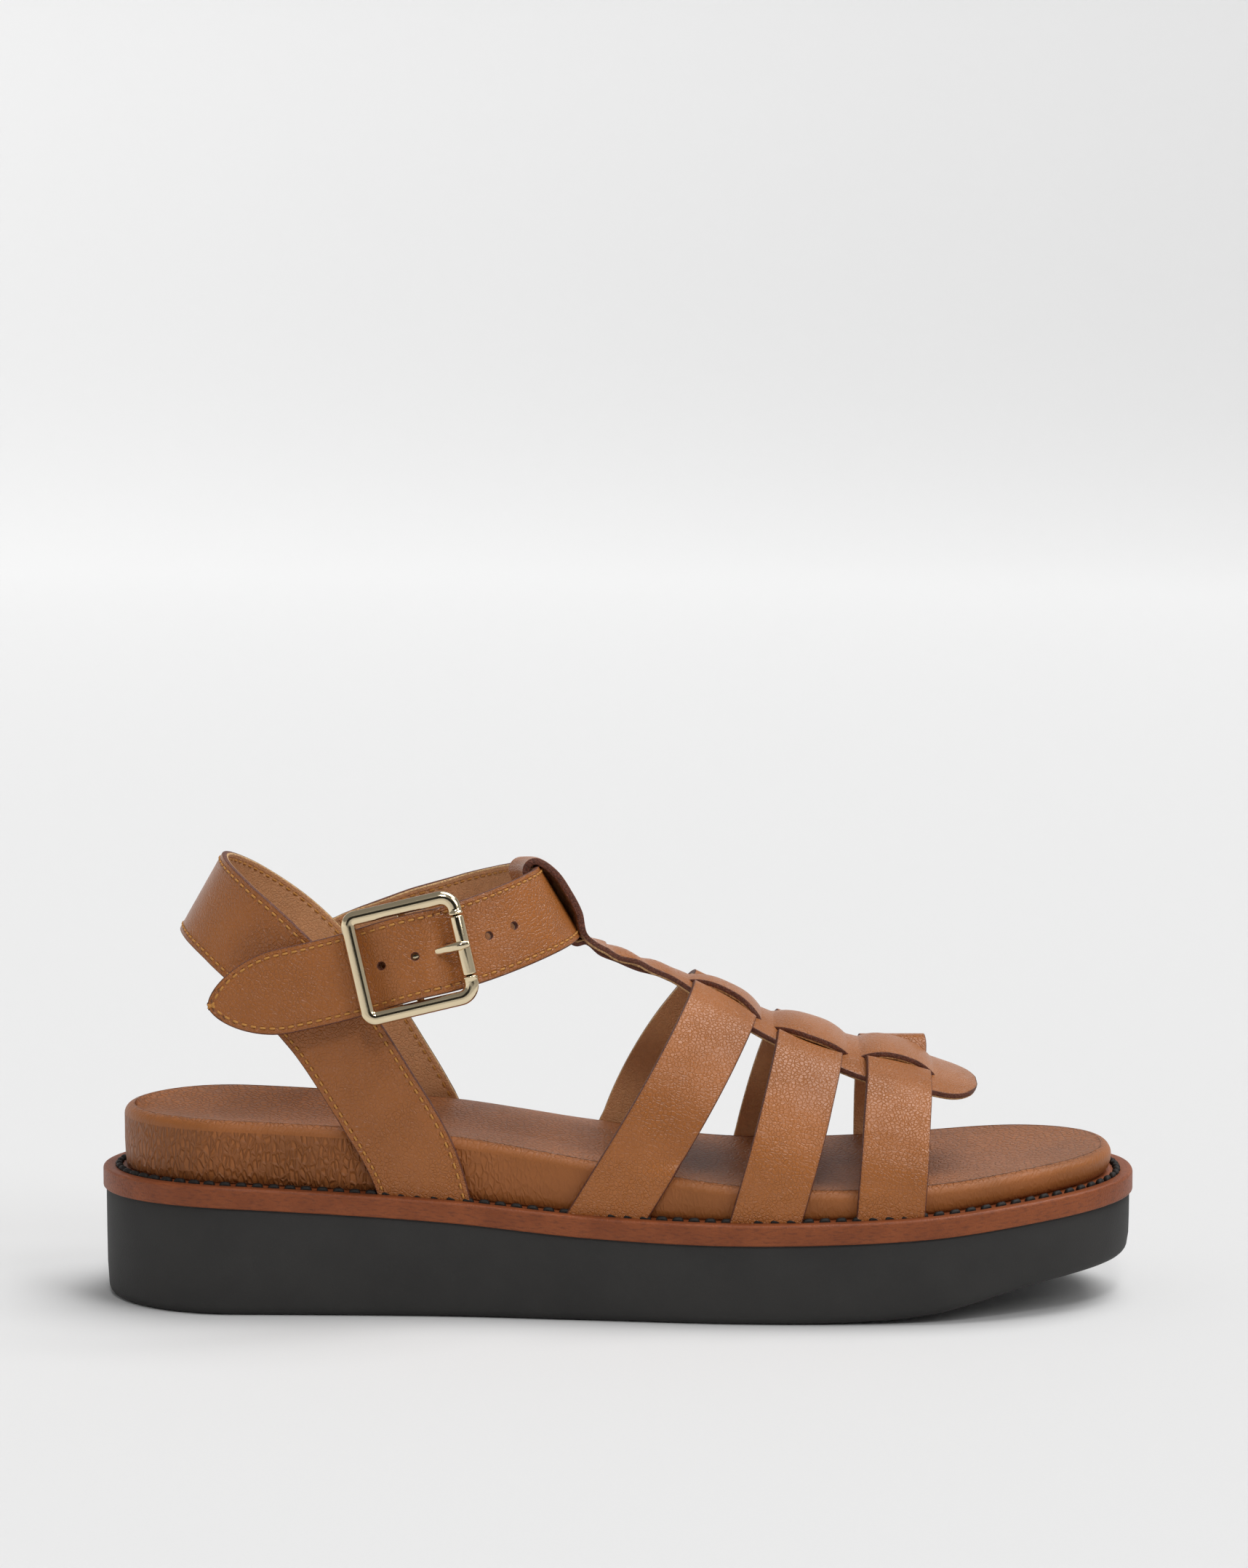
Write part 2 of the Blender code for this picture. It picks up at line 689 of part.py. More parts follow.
def spine_middle(x):
    """Where the spine's middle line lies across the foot: over the loop's middle at the neck,
    and a little to the lateral side over the bands."""
    return SPINE_OFFSET * smooth_step((x / LENGTH + 0.5 - NECK_PLACE) / 0.16)


def spine_half(x):
    """Half width of the spine at x, rounded off at the toe end."""
    place = x / LENGTH + 0.5
    shape = curve_through(column(SPINE_SHAPE, 0), column(SPINE_SHAPE, 1), place)
    past = np.clip((place - SPINE_TIP + TAB_ROUND) / TAB_ROUND, 0.0, 1.0)
    return SPINE_WIDTH * shape * np.sqrt(1 - 0.93 * past**2.2)


def slit_ends(number):
    """Where the pair of slits for a band starts and ends, along x."""
    band = BANDS[number]
    half = (BAND_WIDTHS[number] / 2 + SLIT_MARGIN) * math.cos(math.radians(band[TOP_SLOPE]))
    middle = float(place_to_x(band[BAND_CROSSING]))
    return middle - half, middle + half


def slit_share(x):
    """0 outside the slits and at their ends, 1 at their middle."""
    share = np.zeros_like(x)
    for number in range(len(BANDS)):
        start, end = slit_ends(number)
        t = np.clip((x - start) / (end - start), 0.0, 1.0)
        share = np.maximum(share, 1 - np.abs(2 * t - 1) ** 2.6)
    return share


def on_last(x, y, rise):
    """Points over the last's skin at x and y, raised by rise along its normal."""
    step = 0.05 * MM
    height = crest_height(x) - last_drop(x, y)
    slope_x = (crest_height(x + step) - last_drop(x + step, y) - height) / step
    slope_y = (crest_height(x) - last_drop(x, y + step) - height) / step
    normal = np.stack([-slope_x, -slope_y, np.ones_like(height)], axis=-1)
    normal /= np.linalg.norm(normal, axis=-1)[..., None]
    return np.stack([x, y, height], axis=-1) + normal * np.asarray(rise)[..., None]


def smooth_line(points, count):
    """A smooth line through a few points, read at even distances."""
    lengths = lengths_along(points[:, :3])
    at = np.linspace(0.0, lengths[-1], count)
    return np.column_stack([curve_through(lengths, points[:, k], at) for k in range(points.shape[1])])


def spine_columns(half, slit, share):
    """Offsets across the spine: margin, middle and margin. The middle's edges stand clear of
    the margins where the slits are open."""
    open_by = SLIT_OPENING * share
    margin = np.array([1.0, 0.5, 0.0])
    left = -((slit + open_by)[:, None] + (half - slit - open_by)[:, None] * margin)
    middle = slit[:, None] * np.array([-1.0, -0.5, 0.0, 0.5, 1.0])
    return np.hstack([left, middle, -left[:, ::-1]])


def spine_rows():
    """Where the spine's rows are, from its tip to the neck: close together at the rounded tip
    and even within each slit."""
    stops = [float(place_to_x(SPINE_TIP))]
    for number in (2, 1, 0):
        start, end = slit_ends(number)
        stops += [end, start]
    turn = np.linspace(math.pi / 2, 0.0, 7)[:-1]
    rows = [stops[1] + (stops[0] - stops[1]) * np.sin(turn)]
    for k, count in enumerate((8, 2, 8, 2, 8)):
        rows.append(np.linspace(stops[k + 1], stops[k + 2], count + 1)[:-1])
    rows.append(np.linspace(stops[-1], float(place_to_x(NECK_PLACE)), 6))
    return np.concatenate(rows)


def ankle_front():
    """The ankle strap's front: its middle, its direction upwards and its direction outwards,
    in the XZ plane."""
    row = ANKLE_STRAP[FRONT_ROW]
    middle = np.array([float(place_to_x(row[PATH_PLACE])), row[PATH_HEIGHT] * INSTEP_HEIGHT])
    tilt = math.radians(row[PATH_TILT])
    up = np.array([-math.sin(tilt), math.cos(tilt)])
    return middle, up, np.array([up[1], -up[0]])


def loop_line():
    """The loop's middle line in the XZ plane: up in front of the ankle strap with some room,
    over its upper edge and down behind it."""
    middle, up, out = ankle_front()
    half = ANKLE_STRAP_WIDTH / 2
    near = STRAP_LEATHER + LOOP_GAP
    lean = math.atan2(out[1], out[0])
    turn = lean + np.linspace(0.15, 1.0, 8) * math.pi
    top = middle + up * (half - LOOP_TOP_DROP)
    over = top + near * np.column_stack([np.cos(turn), np.sin(turn)])
    front = [
        middle - up * (half + LOOP_PINCH) + out * (STRAP_LEATHER + LOOP_PINCH),
        middle - up * 0.47 * half + out * (near + LOOP_ROOM * 0.80),
        middle + up * 0.06 * half + out * (near + LOOP_ROOM),
        middle + up * 0.66 * half + out * (near + LOOP_ROOM * 0.75),
    ]
    behind = [middle + up * 0.43 * half - out * near, middle - out * near]
    return np.vstack([front, over, behind])


def front_sag(y):
    """How far the ankle strap has drawn back, and how far it has sunk, at a distance y from
    the middle of its front."""
    rows = ANKLE_STRAP[FRONT_ROW - 1:FRONT_ROW + 2]
    ys = column(rows, PATH_HALF_WIDTH) * ANKLE_WIDTH
    back = place_to_x(rows[1][PATH_PLACE]) - place_to_x(column(rows, PATH_PLACE))
    sunk = (rows[1][PATH_HEIGHT] - column(rows, PATH_HEIGHT)) * INSTEP_HEIGHT
    return tuple(np.polyval(np.polyfit(ys, drop, 2), y) for drop in (back, sunk))


def spine_solid(look, home):
    """The spine: from its rounded tab at the toes, over the three bands and up the instep to
    the loop. Its middle is slit free of its margins at each band and lifted over it."""
    xs = spine_rows()
    share = slit_share(xs)
    slit = np.minimum(slit_place(xs), 0.8 * spine_half(xs))
    offsets = spine_columns(spine_half(xs), slit, share)
    rise = (STRAP_LEATHER - SEWN_OVERLAP) * share[:, None] * (slit_climb(np.abs(offsets) - slit[:, None]) - 1)
    rise[:, 3:8] = ((STRAP_LEATHER - SEWN_OVERLAP) * share)[:, None]
    rise = rise + STRAP_LEATHER / 2
    vamp = on_last(xs[:, None] + 0 * offsets, offsets + spine_middle(xs)[:, None], rise)

    neck = vamp[-3:, 5][:, [0, 2]]
    line = smooth_line(np.vstack([neck, loop_line()]), 34)
    at = lengths_along(line)
    joint = lengths_along(neck)[-1]
    line = line[at > joint + NECK_START]
    at = at[at > joint + NECK_START] - joint
    start = float(spine_half(xs[-1]))
    widths = [start, NECK_HALF, LOOP_WIDTH / 2]
    half = np.interp(at, [0.0, NECK_RUN, LOOP_SPREAD], widths)
    across = spine_columns(half, half * float(slit[-1]) / start, np.zeros_like(half))
    pull = smooth_step(at / LOOP_EASE)[:, None]
    back, sunk = front_sag(across)
    loop = np.stack([line[:, :1] - back * pull, across, line[:, 1:] - sunk * pull], axis=2)
    grid = np.concatenate([vamp, loop])

    rows, columns = grid.shape[:2]
    opened = np.concatenate([share > 1e-6, np.zeros(len(loop), bool)])

    def vertex(i, j):
        if not opened[i] and j in (3, 7):
            j = 2 if j == 3 else 8
        return i * columns + j

    faces = []
    for i in range(rows - 1):
        for j in (0, 1, 3, 4, 5, 6, 8, 9):
            faces.append((vertex(i, j), vertex(i, j + 1), vertex(i + 1, j + 1), vertex(i + 1, j)))
    used = sorted({k for face in faces for k in face})
    index = {k: n for n, k in enumerate(used)}
    points = grid.reshape(-1, 3)[used]
    faces = [tuple(index[k] for k in face) for face in faces]
    made = mesh_object("spine", points, faces, look, home)
    shell = made.modifiers.new("thickness", "SOLIDIFY")
    shell.thickness = STRAP_LEATHER
    shell.offset = 0.0
    return made


def tail_solid(look, home):
    """The loop's tail: from inside its back wall, down behind the ankle strap and forward
    under the neck, where it is sewn."""
    middle, up, out = ankle_front()
    half = ANKLE_STRAP_WIDTH / 2
    near = STRAP_LEATHER + LOOP_GAP
    thickness = STRAP_LEATHER - TAIL_THINNING
    under = []
    for place in TAIL_PLACES:
        x = np.array([[float(place_to_x(place))]])
        under.append(on_last(x, x * 0, x * 0 + STRAP_LEATHER / 2 - TAIL_DEPTH)[0, 0][[0, 2]])
    line = np.vstack([
        middle + up * TAIL_START - out * near,
        middle - out * near,
        middle - up * (half - TAIL_TURN) - out * near,
        middle - up * (half + TAIL_EXIT) - out * (near - TAIL_FORWARD),
        under,
    ])
    line = smooth_line(line, 22)
    across = np.linspace(-1.0, 1.0, 3)[None, :] * (TAIL_HALF + 0 * line[:, :1])
    pull = 1 - np.clip((line[:, :1] - place_to_x(TAIL_SLACK)) / TAIL_EASE, 0.0, 1.0)
    back, sunk = front_sag(across)
    grid = np.stack([line[:, :1] - back * pull, across, line[:, 1:] - sunk * pull], axis=2)
    return strip_object("tail", grid, thickness, look, home)


def united(target, others):
    """Joins the other solids to the target and keeps them only as hidden cutters."""
    for other in others:
        join = target.modifiers.new("join_" + other.name, "BOOLEAN")
        join.operation = "UNION"
        join.solver = "EXACT"
        join.object = other
        hide(other)
    return target


def hide(obj):
    """A helper solid: drawn as wire and left out of the render."""
    obj.hide_render = True
    obj.display_type = "WIRE"


def strap_path(table, count, closed_half=False):
    """The middle line of a strap round the heel or the ankle, and the tilt of its face."""
    rows = np.array([
        (float(place_to_x(row[PATH_PLACE])), row[PATH_HALF_WIDTH] * ANKLE_WIDTH,
         row[PATH_HEIGHT] * INSTEP_HEIGHT, row[PATH_TILT])
        for row in table
    ])
    if closed_half:
        sides = []
        for side, sign in ((LATERAL, -1.0), (MEDIAL, 1.0)):
            half = rows.copy()
            beside = footbed_half(side, half[:, 0]) + STRAP_LEATHER / 2 + STRAP_CLEARANCE
            free = smooth_step((half[:, 2] - rim_height(half[:, 0]) + RIM_RELEASE) / HEEL_STRAP_FREE)
            half[:, 1] = sign * (beside + (half[:, 1] - beside) * free)
            sides.append(half)
        rows = np.vstack([sides[0], sides[1][-2::-1]])
    return smooth_line(rows, count)


def strap_axes(line, turn):
    """Directions along, across and outwards for each point of a strap's line. Its outer face
    looks to one side of its way in plan, and up by the tilt."""
    points = line[:, :3]
    along = unit(np.gradient(points, axis=0))
    plan = unit(np.column_stack([turn * -along[:, 1], turn * along[:, 0], 0 * along[:, 0]]))
    tilt = np.radians(line[:, 3:])
    outward = plan * np.cos(tilt) + np.array([[0.0, 0.0, 1.0]]) * np.sin(tilt)
    outward = unit(outward - along * np.sum(outward * along, axis=1)[:, None])
    across = unit(np.cross(outward, along))
    across *= np.sign(across[len(across) // 2, 2])
    return along, across, outward


def heel_strap_solid(look, home):
    """The heel strap: from the lateral welt up round the back of the heel and down again."""
    line = strap_path(HEEL_STRAP, 240, closed_half=True)
    _, across, outward = strap_axes(line, 1.0)
    points = line[:, :3]
    lengths = lengths_along(points)
    middle = lengths[-1] / 2

    def strap(distance, offset):
        at = np.clip(distance + middle, 0.0, lengths[-1])
        beyond = distance + middle - at
        base = read_along(points, lengths, at)
        first, last = points[1] - points[0], points[-1] - points[-2]
        step = np.where(beyond[:, None] < 0, first, last) / np.linalg.norm(first)
        base = base + step * beyond[:, None]
        out = unit(read_along(outward, lengths, at))
        return base + unit(read_along(across, lengths, at)) * offset

    rows = np.linspace(-middle + 6 * MM, middle - 6 * MM, 60)
    grid = clear_of_footbed(clipped_rows(strap, rows, HEEL_STRAP_WIDTH, 3, free=40 * MM))
    return strip_object("heel_strap", grid, STRAP_LEATHER, look, home)


def buckle_axes():
    """The buckle's origin on the ankle strap's line, and its axes: along the strap towards
    the toe, up across it and outwards, as the columns of a matrix."""
    line = strap_path(ANKLE_STRAP, 400)
    along, across, outward = strap_axes(line, -1.0)
    at = int(np.argmin(np.abs(line[:, 0] - place_to_x(BUCKLE_PLACE)) + 10.0 * (line[:, 1] > 0)))
    return line[at, :3], np.column_stack([along[at], across[at], outward[at]]), at


def buckle_matrix():
    """The matrix from the buckle's own axes to the sandal's."""
    origin, axes, _ = buckle_axes()
    return Matrix.Translation(Vector(origin)) @ Matrix(axes.tolist()).to_4x4()


def bulge(distance):
    """How far the ankle strap stands off its line over the buckle's centre bar."""
    away = np.abs(distance) - BULGE_FLAT
    return STRAP_BULGE * (1 - smooth_step(away / BULGE_FADE))


def ankle_strap_solid(look, home):
    """The ankle strap: pointed at its free end, bulged over the buckle's centre bar and sewn
    to the heel strap on the medial side."""
    line = strap_path(ANKLE_STRAP, 400)
    points = line[:, :3]
    _, across, outward = strap_axes(line, -1.0)
    lengths = lengths_along(points)
    centre = lengths[buckle_axes()[2]]
    rows = np.unique(np.concatenate([
        TIP_LENGTH * (1 - np.cos(np.linspace(0.0, math.pi / 2, 9))),
        np.linspace(TIP_LENGTH, centre - BULGE_REACH, 4),
        np.linspace(centre - BULGE_REACH, centre + BULGE_REACH, 22),
        np.linspace(centre + BULGE_REACH, lengths[-1], 40),
    ]))
    near_tip = np.clip(1 - rows / TIP_LENGTH, 0.0, 1.0)
    half = ANKLE_STRAP_WIDTH / 2 * (1 - near_tip**1.7) ** 0.62
    half = np.maximum(half, TIP_HALF)
    base = read_along(points, lengths, rows)
    side = unit(read_along(across, lengths, rows))
    out = unit(read_along(outward, lengths, rows))
    base = base + out * bulge(rows - centre)[:, None]
    shares = np.linspace(-1.0, 1.0, 3)
    grid = base[:, None] + side[:, None] * (half[:, None] * shares)[:, :, None]
    return strip_object("ankle_strap", grid, STRAP_LEATHER, look, home)


def tube(name, line, across, wide, thick, sides, look, home):
    """A rod along a line: elliptical, wide along the direction across and thick out of it."""
    line = np.asarray(line, float)
    across = np.asarray(across, float)[None, :] + 0 * line
    along, across, out = frame_along(line, across)
    wide = np.broadcast_to(wide, len(line))
    thick = np.broadcast_to(thick, len(line))
    turn = np.linspace(0.0, 2 * math.pi, sides, endpoint=False)
    rings = (
        line[:, None]
        + across[:, None] * (wide[:, None] * np.cos(turn))[:, :, None]
        + out[:, None] * (thick[:, None] * np.sin(turn))[:, :, None]
    )
    faces = []
    for i in range(len(line) - 1):
        faces += ring_faces((i + 1) * sides, i * sides, sides)
    faces.append(tuple(range(sides)))
    last = (len(line) - 1) * sides
    faces.append(tuple(range(last + sides - 1, last - 1, -1)))
    made = mesh_object(name, rings.reshape(-1, 3), faces, look, home)
    return made


def closed_ring(name, line, wide, thick, sides, look, home):
    """A closed bar round a flat line in the buckle's plane, with an elliptical section."""
    count = len(line)
    along = unit(np.roll(line, -1, axis=0) - np.roll(line, 1, axis=0))
    out = np.array([[0.0, 0.0, 1.0]]) + 0 * line
    across = np.cross(along, out)
    turn = np.linspace(0.0, 2 * math.pi, sides, endpoint=False)
    cos, sin = np.cos(turn), np.sin(turn)
    square = (np.abs(cos) ** 2.6 + np.abs(sin) ** 2.6) ** (-1 / 2.6)
    rings = (
        line[:, None]
        + across[:, None] * (wide[:, None] * cos * square)[:, :, None]
        + out[:, None] * (thick[:, None] * sin * square)[:, :, None]
    )
    faces = []
    for i in range(count):
        faces += ring_faces(((i + 1) % count) * sides, i * sides, sides)
    return mesh_object(name, rings.reshape(-1, 3), faces, look, home)


def build_frame(look, home):
    """The buckle's frame: a rounded square whose front bar is thin where the roller turns,
    with a centre bar that is set inwards on two posts."""
    length = (BUCKLE_LENGTH - BUCKLE_BAR) / 2
    height = (ANKLE_STRAP_WIDTH + 2 * BUCKLE_CLEARANCE + BUCKLE_BAR) / 2
    line = []
    corners = ((1, -1, -90), (1, 1, 0), (-1, 1, 90), (-1, -1, 180))
    for across, up, start in corners:
        round_by = BUCKLE_CORNER if across > 0 else BUCKLE_BACK_CORNER
        for angle in np.radians(start + np.linspace(0, 90, 6)):
            line.append((
                across * (length - round_by) + round_by * math.cos(angle),
                up * (height - round_by) + round_by * math.sin(angle),
                FRAME_LIFT,
            ))
        if across == 1 and up == -1:
            reach = height - BUCKLE_CORNER
            for share in (-COLLAR_END, -COLLAR_START, 0.0, COLLAR_START, COLLAR_END):
                line.append((length, share * reach, FRAME_LIFT))
    line = np.array(line)
    inside = np.abs(line[:, 1]) < (COLLAR_START + 0.01) * (height - BUCKLE_CORNER)
    thin = (np.abs(line[:, 0] - length) < 1e-6) & inside
    bar = ROLLER_RADIUS - ROLLER_WALL - ROLLER_PLAY
    wide = np.where(thin, bar, BUCKLE_BAR / 2)
    thick = np.where(thin, bar, BUCKLE_THICKNESS / 2)
    frame = closed_ring("buckle_frame", line, wide, thick, 10, look, home)
    post = [
        (0.0, -height, FRAME_LIFT),
        (0.0, -height + POST_FOOT, POST_HEIGHT),
        (0.0, -height + POST_TURN, 0.0),
    ]
    posts = post + [(x, -y, z) for x, y, z in post[::-1]]
    centre = tube("centre_bar", posts, (1.0, 0.0, 0.0), CENTRE_BAR_RADIUS, CENTRE_BAR_RADIUS, 12, look, home)
    united(frame, [centre])
    return [frame, centre]


def build_roller(look, home):
    """The roller: a thin tube that turns on the front bar."""
    length = (BUCKLE_LENGTH - BUCKLE_BAR) / 2
    height = (ANKLE_STRAP_WIDTH + 2 * BUCKLE_CLEARANCE + BUCKLE_BAR) / 2
    reach = ROLLER_SHARE * (height - BUCKLE_CORNER)
    inner = ROLLER_RADIUS - ROLLER_WALL
    section = ((reach, ROLLER_RADIUS), (-reach, ROLLER_RADIUS), (-reach, inner), (reach, inner))
    turn = np.linspace(0.0, 2 * math.pi, 24, endpoint=False)
    points = []
    for angle in turn:
        for along, radius in section:
            points.append((length + radius * math.cos(angle), along, FRAME_LIFT + radius * math.sin(angle)))
    faces = []
    for i in range(24):
        faces += ring_faces(4 * ((i + 1) % 24), 4 * i, 4)
    return [mesh_object("buckle_roller", points, faces, look, home)]


# Half widths and half thicknesses of the prong past its root, as shares of PRONG_RADIUS.
PRONG_WIDE = (1.04, 1.00, 1.00, 1.00, 0.96, 0.70)
PRONG_THICK = (0.48, 0.65, 0.74, 0.74, 0.70, 0.43)
PRONG_TURNS = 12
PRONG_GAP = 0.2 * MM


def prong_line():
    """The prong's middle line in the buckle's axes: round the centre bar, forward under the
    strap, up through its hole and over the roller."""
    ring = PRONG_ROOT_RADIUS
    turn = np.radians(np.linspace(20, -265, PRONG_TURNS))
    root = np.column_stack([ring * np.cos(turn), 0 * turn, ring * np.sin(turn)])
    length = (BUCKLE_LENGTH - BUCKLE_BAR) / 2
    top = FRAME_LIFT + ROLLER_RADIUS + PRONG_RADIUS * 0.75 + PRONG_GAP
    rest = np.array([
        (3.2 * MM, 0.0, ring + 0.1 * MM),
        (5.6 * MM, 0.0, ring + 0.6 * MM),
        (8.0 * MM, 0.0, ring + 2.0 * MM),
        (10.4 * MM, 0.0, top - 0.9 * MM),
        (length - 0.8 * MM, 0.0, top),
        (length + 1.4 * MM, 0.0, top - 0.1 * MM),
    ])
    return np.vstack([root, rest])


def prong_solid(name, grow, look, home):
    """The prong, or the same shape grown by a margin to cut its way through the strap."""
    line = prong_line()
    wide = PRONG_RADIUS * np.concatenate([np.full(PRONG_TURNS, 1.04), PRONG_WIDE])
    thick = PRONG_RADIUS * np.concatenate([np.full(PRONG_TURNS, 0.37), PRONG_THICK])
    return tube(name, line, (0.0, 1.0, 0.0), wide + grow, thick + grow, 12, look, home)


def build_chape(look, home, helpers):
    """The chape: a leather tab folded round the centre bar, slotted for the prong's root, and
    laid along the heel strap."""
    ring = CHAPE_LOOP_RADIUS
    apart = (CHAPE_LEATHER + SEAT_GAP) / 2
    back = -CHAPE_LENGTH
    turn = np.radians(np.linspace(95, -95, 11))
    fold = np.column_stack([ring * np.cos(turn), 0 * turn, ring * np.sin(turn)])
    ends = np.array([
        (back, CHAPE_DROP),
        (back * 0.75, CHAPE_DROP * 0.84),
        (back * 0.50, CHAPE_DROP * 0.68),
        (back * 0.30, CHAPE_DROP * 0.40),
        (back * 0.16, CHAPE_DROP * 0.14),
    ])
    spread = np.array([apart, apart, apart, apart * 1.15, apart * 1.9])
    upper = np.column_stack([ends[:, 0], 0 * spread, ends[:, 1] + spread])
    lower = np.column_stack([ends[:, 0], 0 * spread, ends[:, 1] - spread])[::-1]
    line = smooth_line(np.vstack([upper, fold, lower]), 44)
    across = np.linspace(-CHAPE_WIDTH / 2, CHAPE_WIDTH / 2, 3)
    grid = line[:, None] + np.array([0.0, 1.0, 0.0]) * across[None, :, None]
    chape = strip_object("buckle_chape", grid, CHAPE_LEATHER, look, home)
    slot = box_solid(
        "chape_slot",
        (-CHAPE_SLOT_BACK, 2 * ring),
        (-CHAPE_SLOT_HALF, CHAPE_SLOT_HALF),
        (-2 * ring, 2 * ring),
        helpers,
    )
    cut_away(chape, slot)
    return [chape, slot]


def box_solid(name, xs, ys, zs, home):
    """A plain box between pairs of coordinates, for a cutter."""
    points = [(x, y, z) for x in xs for y in ys for z in zs]
    faces = [(0, 1, 3, 2), (4, 6, 7, 5), (0, 4, 5, 1), (2, 3, 7, 6), (0, 2, 6, 4), (1, 5, 7, 3)]
    made = mesh_object(name, points, faces, None, home)
    return made


def cut_away(target, cutter):
    """Takes the cutter's shape out of the target and hides the cutter."""
    cut = target.modifiers.new("cut_" + cutter.name, "BOOLEAN")
    cut.operation = "DIFFERENCE"
    cut.solver = "EXACT"
    cut.object = cutter
    hide(cutter)


def punches(home):
    """Cutters for the ankle strap's holes: short rods through it, at their distances from the
    buckle along the strap."""
    line = strap_path(ANKLE_STRAP, 400)
    points = line[:, :3]
    _, across, outward = strap_axes(line, -1.0)
    lengths = lengths_along(points)
    centre = lengths[buckle_axes()[2]]
    points_out, faces = [], []
    sides = 12
    for distance in HOLES:
        at = np.array([centre + distance])
        base = read_along(points, lengths, at)[0]
        up = unit(read_along(across, lengths, at))[0]
        out = unit(read_along(outward, lengths, at))[0]
        base = base + out * float(bulge(np.array([distance]))[0])
        ahead = np.cross(up, out)
        start = len(points_out)
        for reach in (-2.5 * MM, 2.5 * MM):
            for turn in np.linspace(0.0, 2 * math.pi, sides, endpoint=False):
                ring = HOLE_RADIUS * (ahead * math.cos(turn) + up * math.sin(turn))
                points_out.append(base + ring + out * reach)
        faces += ring_faces(start, start + sides, sides)
        faces.append(tuple(range(start + sides - 1, start - 1, -1)))
        faces.append(tuple(range(start + sides, start + 2 * sides)))
    return mesh_object("punches", points_out, faces, None, home)


def place_all(objects):
    """Moves the buckle's pieces from its own axes onto the ankle strap."""
    matrix = buckle_matrix()
    for obj in objects:
        obj.data.transform(matrix)
        obj.data.update()


def main():
    clear_scene()
    soles = collection("sole")
    uppers = collection("upper")
    fittings = collection("buckle")
    helpers = collection("helpers")
    tan = material("tan_leather", (0.42, 0.21, 0.08), 0.55)
    brown = material("brown_leather", (0.20, 0.07, 0.03), 0.55)
    black = material("black_rubber", (0.012, 0.012, 0.013), 0.65)
    gold = material("gold_metal", (0.78, 0.62, 0.36), 0.25, metallic=1.0)

    build_outsole(black, soles)
    build_welt(brown, soles)
    build_footbed(tan, soles)

    spine = spine_solid(tan, uppers)
    spine.name = "upper_vamp"
    bands = [band_solid(number, tan, helpers) for number in range(len(BANDS))]
    united(spine, bands + [tail_solid(tan, helpers)])

    quarter = heel_strap_solid(tan, uppers)
    quarter.name = "upper_quarter"
    ankle = ankle_strap_solid(tan, helpers)
    united(quarter, [ankle])

    pieces = build_frame(gold, fittings)
    pieces += build_roller(gold, fittings)
    pieces.append(prong_solid("buckle_prong", 0.0, gold, fittings))
    pieces += build_chape(tan, fittings, helpers)
    way = prong_solid("prong_way", 0.35 * MM, None, helpers)
    place_all(pieces + [way])
    cut_away(quarter, way)
    cut_away(quarter, punches(helpers))


main()
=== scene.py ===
# %% [markdown]
# # A fisherman sandal in tan leather
# This notebook dresses the plain solids of a right-foot sandal. The solids give the places and
# the sizes; each step below adds one piece or one finish, and says how the real one is made.

# %% Load the frame
import math

import bmesh
import bpy
import numpy as np
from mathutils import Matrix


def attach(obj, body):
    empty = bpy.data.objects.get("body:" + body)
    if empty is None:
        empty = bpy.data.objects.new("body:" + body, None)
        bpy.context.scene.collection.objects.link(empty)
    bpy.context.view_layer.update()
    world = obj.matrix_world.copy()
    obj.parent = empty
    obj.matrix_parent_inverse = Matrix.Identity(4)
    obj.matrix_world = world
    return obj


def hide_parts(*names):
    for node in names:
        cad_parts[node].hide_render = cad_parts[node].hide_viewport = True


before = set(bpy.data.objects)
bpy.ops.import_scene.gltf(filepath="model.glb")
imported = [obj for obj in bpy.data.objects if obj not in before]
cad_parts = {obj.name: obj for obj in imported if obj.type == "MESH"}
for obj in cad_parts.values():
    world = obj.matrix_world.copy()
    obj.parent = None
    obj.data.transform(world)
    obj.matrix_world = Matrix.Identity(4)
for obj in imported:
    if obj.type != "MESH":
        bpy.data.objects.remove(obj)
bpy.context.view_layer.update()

MM = 0.001
print("nodes:", sorted(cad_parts))

# %% [markdown]
# ## The camera
# A product photograph is taken from far away with a long lens, so that the shoe isn't
# distorted. The camera stands 1.5 m off and 30 cm up, and looks down by six and a half degrees.
# Both were found by laying points of the sole and the straps over the same points of the
# photograph. Blender measures the sensor along the picture's longer side, upright here.

# %% Camera
scene = bpy.context.scene
PICTURE = (1716, 2156)
CAMERA_PLACE = (0.0016, -1.4754, 0.3002)
CAMERA_PITCH = math.radians(6.53)
PIXELS_PER_RADIAN = 7980.0
SENSOR_WIDTH = 36.0
CLIP_START = 0.05

lens = bpy.data.cameras.new("photo_camera")
lens.sensor_width = SENSOR_WIDTH
lens.lens = PIXELS_PER_RADIAN / max(PICTURE) * SENSOR_WIDTH
lens.clip_start = CLIP_START
camera = bpy.data.objects.new("photo_camera", lens)
camera.location = CAMERA_PLACE
camera.rotation_euler = (math.pi / 2 - CAMERA_PITCH, 0.0, 0.0)
scene.collection.objects.link(camera)
scene.camera = camera
print("lens in mm:", round(lens.lens, 1))

# %% [markdown]
# ## Curves and tables
# A last, a sole and a strap are all drawn from a few measured sections with a smooth curve
# between them. The curve here is the one that runs through each point with the mean slope of
# its neighbours, which is what a flexible wooden batten does.

